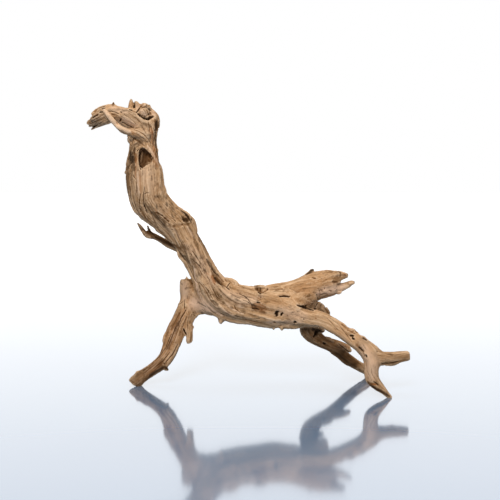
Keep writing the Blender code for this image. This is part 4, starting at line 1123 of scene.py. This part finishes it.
# The front leg
FRONT_LEG_MARKS = [
    ("pit", 0.95, 2.4, 2.4, (350.4, 335.6), (353, 335.7)),
    ("pit", 0.95, 2.2, 2.2, (352.5, 338), (353.8, 339)),
    ("brown", 0.7, 1.0, 0.6, (347, 330.2), (350.4, 331.6), (354, 331.4)),
    ("brown", 0.7, 1.0, 0.6, (348.6, 333.2), (352, 332.8), (356, 333.6)),
    ("brown", 0.9, 2.0, 0.9, (355.4, 330.4), (357, 332.6)),
    ("ochre", 1.0, 7.0, -0.4, (347.5, 331), (355, 332.4)),
    ("brown", 0.9, 5.2, 1.0, (357, 345.4), (360, 348.2), (363, 351.4)),
    ("pit", 0.85, 2.4, 2.2, (358.6, 347), (360.6, 348.8), (362.8, 351)),
    ("pit", 1.0, 2.4, 2.4, (365.8, 355.8), (366.2, 356.6)),
    ("brown", 0.9, 1.3, 0.8, (363.8, 353), (364.4, 356.4)),
    ("brown", 0.8, 1.4, 0.4, (376.8, 351.2), (377.4, 351.6)),
    ("dark", 0.95, 2.4, 1.2, (363.2, 338), (366.4, 339.8)),
    ("brown", 0.9, 2.4, 0.5, (341.8, 324.2), (344, 325.8)),
    ("brown", 0.35, 1.0, 0.6, (366, 362), (367, 371), (372, 381)),
    ("brown", 0.35, 1.0, 0.6, (370.5, 364), (371.5, 373), (377, 382)),
    ("brown", 0.35, 0.9, 0.5, (375, 366), (376, 374), (382, 384)),
    ("brown", 0.9, 3.0, 0.6, (367.4, 381.6), (370.6, 384), (376, 384)),
    ("orange", 0.9, 2.4, 0, (371, 383.8), (376, 384.8)),
    ("dark", 0.9, 1.6, 0.8, (373.6, 381.6), (376, 383), (378.4, 385.2)),
    ("dark", 0.9, 3.4, 0.4, (367.6, 382.6), (370, 385.6), (376, 389), (384, 393), (389.6, 396.6)),
    ("dark", 0.7, 2.6, 0.5, (382, 363.6), (390, 363.4), (398, 361.6)),
    ("brown", 0.8, 2.4, 0.5, (396, 362), (406, 359.6)),
    ("dark", 0.3, 0.7, 0.6, (330, 318), (340, 326), (352, 342)),
    ("dark", 0.3, 0.7, 0.6, (312, 314), (328, 319), (338, 330)),
    ("dark", 0.3, 0.7, 0.6, (384, 354), (396, 355), (407, 353)),
]
# The back leg
BACK_LEG_MARKS = [
    # Painted shade where the trunk's underside overhangs the back leg: a dark line at the joint and a darker
    # band below it
    ("dark", 1.0, 1.8, 3.0, (299.7, 327.2), (306, 326), (316.3, 326), (322.7, 328.4)),
    ("charcoal", 0.8, 3.0, 0.6, (302, 329.4), (312, 329), (321, 330.6)),
    ("pit", 0.95, 4.2, 4.0, (314.4, 336.4), (316, 334), (319.6, 332)),
    ("dark", 0.9, 6.0, 1.0, (313, 330), (321, 331.6)),
    ("pit", 1.0, 2.6, 3.0, (323.8, 343.4), (324.8, 343.9)),
    ("grey", 0.9, 3.0, 0.0, (301.5, 331), (303, 338), (310, 345), (320, 350)),
    ("orange", 0.5, 3.0, 0.0, (341, 344), (349, 347)),
    ("dark", 0.9, 1.2, 1.8, (338.6, 343.6), (344, 348.4), (349.4, 352.4)),
]
# The left leg
LEFT_LEG_MARKS = [
    ("brown", 0.8, 3.0, 0.4, (187.6, 279.4), (192.6, 283.4)),
    ("dark", 0.9, 1.1, 1.0, (181.4, 283.4), (182, 285)),
    ("dark", 0.95, 0.8, 1.4, (184.2, 299.6), (184.2, 304), (184.9, 310.3)),
    ("dark", 0.6, 0.8, 0.9, (179, 304.4), (183.4, 301)),
    ("dark", 0.8, 1.1, 1.6, (197.8, 302), (201, 304.4), (206, 307.4)),
    ("dark", 0.8, 1.4, 1.6, (202, 309.8), (208, 313.6)),
    ("brown", 0.9, 6.0, 0.6, (179.4, 313), (176, 320), (171.6, 329)),
    ("dark", 0.6, 0.9, 0.9, (179, 313), (174, 323), (170.4, 330)),
    ("pale", 0.6, 1.6, -0.6, (179.6, 319), (174, 329), (169.6, 341)),
    ("dark", 0.8, 0.9, 1.2, (171.4, 334), (168, 341), (165, 349)),
    ("dark", 0.6, 0.8, 1.0, (176, 327), (172, 336), (168.6, 346)),
    ("pale", 0.6, 1.5, -0.5, (174.6, 334), (170, 344), (166, 353)),
    ("dark", 0.5, 0.8, 0.9, (181, 322), (177, 333), (172.6, 345)),
    ("dark", 0.85, 1.7, 2.4, (183.6, 329), (184.8, 332), (186.4, 335.6)),
    ("dark", 0.5, 0.8, 0.8, (187, 316), (184, 323), (182.6, 327)),
    ("dark", 0.45, 0.8, 0.8, (190, 314), (187.6, 322), (188, 331)),
    ("brown", 0.8, 3.0, 0.4, (191.6, 332), (191.4, 337), (190.2, 341.6)),
    # Painted shade along the right edge of the left leg
    ("dark", 0.6, 1.5, 0.6, (184.6, 336), (178.6, 348.8), (172, 362.6), (168, 368.6)),
    ("dark", 0.9, 1.1, 1.2, (163.6, 363), (164.6, 364.2)),
    ("dark", 0.9, 4.6, 0, (165.4, 367.6), (168, 369)),
    ("dark", 0.85, 5.0, 0.6, (165, 366.8), (157, 371), (149.6, 376)),
    ("brown", 0.9, 3.4, 0.3, (149, 379), (143, 384)),
    ("orange", 0.6, 1.8, 0.3, (158, 367.4), (152, 371), (147, 375)),
    ("pale", 0.5, 1.3, -0.3, (161.6, 358.6), (151, 368.6), (144, 374)),
    ("dark", 0.5, 0.8, 0.9, (163, 355), (155, 364.6), (142.6, 374.4)),
    ("dark", 0.4, 0.8, 0.8, (165.6, 359.4), (157, 368.4), (144.4, 377.6)),
    ("dark", 0.7, 1.5, 1.6, (186, 310), (181, 318), (178, 326)),
    ("dark", 0.6, 1.3, 1.4, (178, 344), (173, 354), (166, 362)),
    ("dark", 0.7, 1.4, 1.4, (165, 348), (160, 356), (150, 364.6), (143, 371)),
    ("dark", 0.6, 1.2, 1.2, (170, 352), (163, 361), (153, 369)),
    ("pale", 0.7, 1.5, -0.7, (166.6, 352), (160, 360), (150, 367)),
    ("pale", 0.6, 1.6, -0.7, (183, 316), (177, 328), (172, 341)),
    ("brown", 0.8, 3.6, 0.6, (162, 372), (154, 376), (146, 381)),
]
# The twig: brown, darkened further with painted shade on the side that the trunk shades, with a painted
# highlight along its upper edge
TWIG_MARKS = [
    ("brown", 1.0, 7.0, 0.2, (180, 248.6), (168, 242.6), (152, 234.6), (143, 229)),
    # Painted shade on the twig's shaded side, near the trunk
    ("dark", 0.55, 4.6, 0.2, (176, 248.4), (166, 243), (156, 237.6)),
    ("dark", 0.9, 2.6, 0, (148, 227.4), (149.6, 231.4), (153, 233.8)),
    # Painted highlight along the twig's upper edge
    ("pale", 0.7, 1.8, 0, (157, 240.4), (150, 237), (146, 234), (142.4, 230)),
]
MARKS = [
    *BROAD_TINTS, *HEAD_MARKS, *KNOB_MARKS, *NECK_MARKS, *UPPER_TRUNK_MARKS, *LOWER_TRUNK_MARKS,
    *RIGHT_TRUNK_MARKS, *FRONT_LEG_MARKS, *BACK_LEG_MARKS, *LEFT_LEG_MARKS, *TWIG_MARKS,
]
MASKS = ("pit", "dark", "brown", "orange", "charcoal", "grey", "ochre", "pale")
# Where a colour starts to fade, as a share of the mark's width
COLOUR_CORE = {
    "pit": 0.45, "dark": 0.15, "brown": 0.1, "orange": 0.2, "charcoal": 0.1,
    "grey": 0, "ochre": 0, "pale": 0.1, "weather": 0.2,
}
# A line of pixels is looked along in steps of this many pixels
SIGHT_STEP = 0.6
# Where the line leaps further than this, in mm, it goes on behind an edge and isn't joined
LEAP = 5.0
# A mark keeps to the skin that faces as its line does, but one at least this wide, in mm, goes round it
BROAD = 8
NARROW_FACING = 0.2
BROAD_FACING = -0.6
# How ragged a mark's edge is, as a share of its width, over what length in mm, and how far it spreads
RAGGEDNESS = 0.35
RAGGED_SIZE = 2.5
WIDEST = 1.3
# How much slimmer a mark gets towards its ends, where it is at least this many times as long as wide
SLIMMER_ENDS = 0.55
LONG = 4
# How often the ways that the skin faces are smoothed before a mark moves it along them
FACING_ROUNDS = 3
# The side that the photograph doesn't show, by how far the skin faces away from the camera, is weathered
# this much in patches of about this size in mm, which start and are whole at these heights of their noise
BEHIND = (-0.3, 0.3)
WEATHER_BEHIND = 0.6
WEATHER_PATCH = 38
WEATHER_HEIGHTS = (-0.15, 0.35)
# Hollows and rims at two sizes, for the painted shade in the hollows and the painted highlight on the small
# rims: the rounds of smoothing, and the depth in mm that counts as whole
HOLLOWS = {"cavity": (6, 0.45), "basin": (60, 2.2)}


def sight(pixel):
    """The direction in which the camera sees a pixel of the photograph."""
    aside = (float(pixel[0]) - FRAME_SIDE / 2) / FOCAL_PX
    above = (FRAME_SIDE / 2 - float(pixel[1])) / FOCAL_PX
    return (AHEAD + aside * RIGHT + above * UP).normalized()


def seen_line(tree, pixels):
    """The places on the wood along a line of pixels, and the way that the wood faces there."""
    dense = [np.array(pixels[0], float)]
    for a, b in zip(pixels, pixels[1:]):
        count = max(1, round(math.dist(a, b) / SIGHT_STEP))
        dense += [np.array(a) + (np.array(b) - np.array(a)) * k / count for k in range(1, count + 1)]
    hits = [tree.ray_cast(EYE, sight(pixel))[:2] for pixel in dense]
    hits = [hit for hit in hits if hit[0] is not None]
    return np.array([hit[0] for hit in hits]), np.array([hit[1] for hit in hits])


def lay_marks(mesh, marks, names):
    """Cuts or raises each mark in the skin, and keeps how strongly each colour shows at each vertex."""
    edit = bmesh.new()
    edit.from_mesh(mesh)
    tree = BVHTree.FromBMesh(edit)
    edit.free()
    places = places_of(mesh)
    normals = smoothed(normals_of(mesh), neighbours_of(mesh), FACING_ROUNDS)
    normals /= np.linalg.norm(normals, axis=1)[:, None]
    shift = np.zeros(len(places))
    masks = {name: np.zeros(len(places)) for name in names}
    for colour, strength, half_width, depth, *pixels in marks:
        line, facing = seen_line(tree, pixels)
        width = half_width * MM
        margin = WIDEST * width
        near = np.flatnonzero(((places > line.min(0) - margin) & (places < line.max(0) + margin)).all(1))
        distance, along, nearest = reach_of(places[near], line, LEAP * MM)
        least_facing = NARROW_FACING if half_width < BROAD else BROAD_FACING
        same_side = (normals[near] * facing[nearest]).sum(1) > least_facing
        rough = np.array([noise.noise(Vector(p) / (RAGGED_SIZE * MM)) for p in places[near]])
        slimmer = SLIMMER_ENDS * min(1, np.linalg.norm(line[-1] - line[0]) / (LONG * width))
        taper = 1 - slimmer * (1 - np.sqrt(np.sin(np.pi * np.clip(along, 0.02, 0.98))))
        reach = distance / (width * taper) * (1 + RAGGEDNESS * rough)
        picked, reach = near[same_side], reach[same_side]
        shift[picked] -= np.where(reach < 1, depth * MM * (1 - np.minimum(reach, 1) ** 2) ** 1.5, 0)
        shown = strength * ramp(reach, 1.0, COLOUR_CORE[colour])
        masks[colour][picked] = np.maximum(masks[colour][picked], shown)
    set_places(mesh, places + shift[:, None] * normals)
    for name, values in masks.items():
        set_attribute(mesh, name, values)


def weather_behind(mesh):
    """Weathers the sides that the photograph doesn't show, in patches."""
    behind = ramp(normals_of(mesh)[:, 1], *BEHIND)
    patches = np.array([noise.noise(Vector(p) / (WEATHER_PATCH * MM)) for p in places_of(mesh)])
    hidden = WEATHER_BEHIND * behind * ramp(patches, *WEATHER_HEIGHTS)
    set_attribute(mesh, "weather", np.maximum(attribute_of(mesh, "weather"), hidden))


def note_shape(mesh):
    """Keeps where the wood is hollowed, and below 0 where it stands out, for the painted shade in the hollows
    and the painted highlight on what stands out.
    """
    places, normals, neighbours = places_of(mesh), normals_of(mesh), neighbours_of(mesh)
    for name, (rounds, size) in HOLLOWS.items():
        rise = ((smoothed(places, neighbours, rounds) - places) * normals).sum(1) / MM / size
        set_attribute(mesh, name, np.clip(rise, -1, 1))


def thin_out(wood):
    """Lowers the triangle count, keeping most triangles where the wood bends most."""
    thin = wood.modifiers.new("Thin", "DECIMATE")
    thin.ratio = MOST_TRIANGLES / (2 * len(wood.data.polygons))
    thin.use_collapse_triangulate = True
    return applied(wood)


def seat_feet(mesh):
    """Lets the feet meet the floor again after the smoothing, and cuts off what is below it."""
    edit = bmesh.new()
    edit.from_mesh(mesh)
    for vertex in edit.verts:
        height = vertex.co.z / MM
        if height < FOOT_HEIGHT:
            vertex.co.z -= FOOT_STRETCH * MM * (1 - height / FOOT_HEIGHT)
    everything = edit.verts[:] + edit.edges[:] + edit.faces[:]
    bmesh.ops.bisect_plane(edit, geom=everything, plane_co=(0, 0, 0), plane_no=(0, 0, -1), clear_outer=True)
    bmesh.ops.holes_fill(edit, edges=[e for e in edit.edges if e.is_boundary], sides=0)
    bmesh.ops.triangulate(edit, faces=[f for f in edit.faces if len(f.verts) > 4])
    edit.to_mesh(mesh)
    edit.free()


def colour_of(code):
    """The linear colour of an sRGB hex value."""
    parts = [int(code[i:i + 2], 16) / 255 for i in (1, 3, 5)]
    return (*(c / 12.92 if c <= 0.04045 else ((c + 0.055) / 1.055) ** 2.4 for c in parts), 1)


ATTRIBUTE = "ShaderNodeAttribute"
# The wood's own tones, and how far up the noise of its bands and fibres each of them is
WOOD_TONES = ((0.37, "#8A6644"), (0.46, "#AE865F"), (0.54, "#C49C75"), (0.63, "#DAB690"))
# What runs along the grain: its length and width in mm, and how finely and strongly its noise is broken
# up. Real fibres are finer than 0.3 mm, so they are drawn several times as coarse to show
ALONG = {
    "fibre": (36, 1.9, 4.0, 0.68),
    "band": (75, 6.0, 2.0, 0.5),
    "hair": (36, 2.4, 1.0, 0.5),
    "grime": (60, 5.0, 3.0, 0.55),
    "pore": (7, 0.7, 2.0, 0.5),
}
# What lies in patches: their size in mm, and how finely their noise is broken up
PATCHES = {"hair": (24, 2.0), "dust": (38, 3.0), "grime": (9, 4.0)}
# The colours laid over the tones, one after another: the masks that each shows by, and how strongly. Some of
# them are painted light: a painted highlight on the ridges and painted shade in the hollows
LAYERS = [
    ("#B8875A", 0.75, "ochre"),
    ("#A58A70", 0.45, "dusty"),
    ("#80603F", 0.5, "tanned"),
    ("#8A7057", 1.0, "grey", "uneven"),
    ("#E0BA9B", 0.8, "pale"),
    # Painted highlight on the places that stand out, over their real wear
    ("#DDBC98", 0.5, "worn"),
    ("#48301A", 0.8, "streaked", "uneven"),
    # Painted shade in the small hollows
    ("#573A1F", 0.8, "hollow_shade"),
    # Painted shade in the broad hollows
    ("#4A3018", 0.75, "deep"),
    ("#684322", 1.0, "brown", "uneven"),
    ("#9C6033", 1.0, "orange", "uneven"),
    ("#44372A", 1.0, "charcoal", "uneven"),
    ("#5F422C", 0.5, "hair", "open"),
    ("#4E3624", 0.6, "crack", "open"),
    ("#2C1C0F", 0.9, "hole"),
    ("#26170B", 1.0, "pit"),
    ("#2A1B10", 1.0, "dark"),
]


def weighted(tree, *parts):
    """The sum of the values, each times its weight."""
    total = None
    for value, weight in parts:
        part = add(tree, MATH, (value, weight), operation="MULTIPLY")
        total = add(tree, MATH, (total, part), operation="ADD") if total else part
    return total


def wood_masks(tree, along, patches):
    """Where each colour shows: by the marks and the shape that the skin keeps, and by patterns."""
    kept = (*MASKS, "cavity", "basin", "weather", "crack", "hole")
    masks = {name: add(tree, ATTRIBUTE, (), "Fac", attribute_name=name) for name in kept}
    from_middle = add(tree, MATH, (along["hair"], 0.5), operation="SUBTRACT")
    from_middle = add(tree, MATH, (from_middle,), operation="ABSOLUTE")
    grime = weighted(tree, (along["grime"], 0.6), (patches["grime"], 0.4))
    ranges = {
        "hair line": (from_middle, 0.0, 0.022, 1.0, 0.0),
        "hair patch": (patches["hair"], 0.47, 0.6),
        "dusty": (patches["dust"], 0.5, 0.68),
        # Painted highlight where the skin stands out
        "worn": (masks["cavity"], -0.1, -0.6),
        # Painted shade in the small hollows
        "hollow_shade": (masks["cavity"], 0.12, 0.75),
        # Painted shade in the broad hollows
        "deep": (masks["basin"], 0.35, 1.0),
        "uneven": (along["fibre"], 0.35, 0.62, 0.55, 1.0),
        "streaked": (weighted(tree, (grime, 1.0), (masks["weather"], 0.09)), 0.535, 0.66),
        "tanned": (weighted(tree, (grime, 1.0), (masks["weather"], 0.2)), 0.5, 0.75),
    }
    for name, value_and_limits in ranges.items():
        masks[name] = add(tree, RANGE, value_and_limits, interpolation_type="SMOOTHSTEP")
    masks["hair"] = add(tree, MATH, (masks["hair line"], masks["hair patch"]), operation="MULTIPLY")
    masks["open"] = add(tree, RANGE, (masks["weather"], 0.0, 1.0, 0.3, 1.0))
    return masks


def wood_material():
    """Root wood, stripped by water, dried and sand-blasted: matt, pale tan and open along the grain, with
    brown in its furrows and near black in its cracks and beetle holes. Its hollows are darkened with painted
    shade and its ridges lightened with a painted highlight."""
    material = bpy.data.materials.new("sand-worn root wood")
    material.use_nodes = True
    tree = material.node_tree
    shader = tree.nodes["Principled BSDF"].inputs
    grain = add(tree, ATTRIBUTE, (), "Vector", attribute_name="grain")
    place = add(tree, "ShaderNodeTexCoord", (), "Object")
    along, patches = {}, {}
    for name, (length, width, detail, roughness) in ALONG.items():
        along[name] = along_grain(tree, grain, (length, width, width), detail, roughness)
    for name, (size, detail) in PATCHES.items():
        patches[name] = add(tree, NOISE, {"Vector": place, "Scale": 1 / (size * MM), "Detail": detail})
    masks = wood_masks(tree, along, patches)

    shade = weighted(tree, (along["fibre"], 0.55), (along["band"], 0.45))
    colour = add(tree, "ShaderNodeValToRGB", (shade,))
    tones = colour.node.color_ramp.elements
    for i, (height, code) in enumerate(WOOD_TONES):
        tone = tones[i] if i < 2 else tones.new(height)
        tone.position = height
        tone.color = colour_of(code)
    for code, mask, *names in LAYERS:
        for name in names:
            mask = add(tree, MATH, (masks[name], mask), operation="MULTIPLY")
        colour = add(tree, "ShaderNodeMix", {0: mask, 6: colour, 7: colour_of(code)}, 2, data_type="RGBA")
    tree.links.new(colour, shader["Base Color"])

    # The ridges' painted highlight and the pale marks, some of which are painted light too; both are also
    # made smoother
    pale_worn_and_highlit = add(tree, MATH, (masks["worn"], masks["pale"]), operation="ADD")
    roughness = add(tree, RANGE, (pale_worn_and_highlit, 0.0, 1.2, 0.9, 0.68), interpolation_type="SMOOTHSTEP")
    tree.links.new(roughness, shader["Roughness"])
    shader["Metallic"].default_value = 0
    shader["IOR"].default_value = 1.45
    shader["Specular IOR Level"].default_value = 0.08
    height = weighted(tree, (along["fibre"], 0.6), (masks["hair"], -0.6), (along["pore"], 0.35))
    bump = add(tree, "ShaderNodeBump", {"Strength": 0.8, "Distance": 0.8 * MM, "Height": height})
    tree.links.new(bump, shader["Normal"])
    return material


def floor_material():
    """Glass over pale blue-grey board: flat and clear, so it mirrors the room and the feet on it."""
    material = bpy.data.materials.new("glass on pale board")
    material.use_nodes = True
    shader = material.node_tree.nodes["Principled BSDF"].inputs
    shader["Base Color"].default_value = colour_of("#768AA2")
    shader["Roughness"].default_value = 0.1
    shader["IOR"].default_value = 1.8
    shader["Coat Weight"].default_value = 1
    shader["Coat Roughness"].default_value = 0.08
    shader["Coat IOR"].default_value = 1.8
    return material


FLOOR_SIDE = 9.0
# Soft boxes: where each stands, the length of its sides in metres and its power in watts
SOFT_BOXES = {
    "front soft box": ((-0.3, -1.7, 1.5), 0.7, 35.5),
    "side soft box": ((1.4, -0.9, 1.2), 0.8, 7),
    "top soft box": ((-0.2, 0.2, 1.7), 1.0, 10),
    "back soft box": ((0.3, 1.9, 1.2), 1.0, 12),
}
# How bright the white room is to the camera, to what mirrors it and to what it lights
ROOM_SEEN = 1.0
ROOM_MIRRORED = 1.5
ROOM_LIGHT = 0.19


def lay_floor():
    """A plain square floor under the wood."""
    half = FLOOR_SIDE / 2
    mesh = bpy.data.meshes.new("floor")
    corners = [(-half, -half, 0), (half, -half, 0), (half, half, 0), (-half, half, 0)]
    mesh.from_pydata(corners, [], [(0, 1, 2, 3)])
    floor = bpy.data.objects.new("floor", mesh)
    bpy.context.scene.collection.objects.link(floor)
    mesh.materials.append(floor_material())


def light_studio():
    """Four soft boxes in a white room."""
    for name, (place, side, power) in SOFT_BOXES.items():
        lamp = bpy.data.lights.new(name, "AREA")
        lamp.shape = "SQUARE"
        lamp.size = side
        lamp.energy = power
        box = bpy.data.objects.new(name, lamp)
        box.location = place
        box.visible_glossy = False
        box.rotation_euler = (LOOK_AT - Vector(place)).to_track_quat("-Z", "Y").to_euler()
        bpy.context.scene.collection.objects.link(box)
    world = bpy.data.worlds.new("white room")
    world.use_nodes = True
    tree = world.node_tree
    background = tree.nodes["Background"].inputs
    rays = add(tree, "ShaderNodeLightPath").node.outputs
    strength = ROOM_SEEN
    for ray, brightness in {"Is Glossy Ray": ROOM_MIRRORED, "Is Diffuse Ray": ROOM_LIGHT}.items():
        strength = add(tree, RANGE, {"Value": rays[ray], "To Min": strength, "To Max": brightness})
    background["Color"].default_value = (1, 1, 1, 1)
    tree.links.new(strength, background["Strength"])
    bpy.context.scene.world = world
    bpy.context.scene.view_settings.view_transform = "Standard"


def place_camera():
    """The camera at the photograph's angle."""
    camera = bpy.data.cameras.new("camera")
    camera.lens = LENS_MM
    camera.sensor_width = SENSOR_MM
    holder = bpy.data.objects.new("camera", camera)
    holder.location = EYE
    holder.rotation_euler = (math.pi / 2 - CAMERA_TILT, 0, 0)
    bpy.context.scene.collection.objects.link(holder)
    bpy.context.scene.camera = holder


def dress_wood():
    """The one piece of the scene: the skin with its grain, its marks and its material."""
    wood = fine_skin()
    lay_marks(wood.data, WEATHERED, ["weather"])
    weather_behind(wood.data)
    raise_grain(wood, wood_material())
    lay_marks(wood.data, MARKS, MASKS)
    note_shape(wood.data)
    seat_feet(thin_out(wood))
    wood.data.shade_smooth()
    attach(wood, "root")
    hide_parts("driftwood")


place_camera()
dress_wood()
lay_floor()
light_studio()
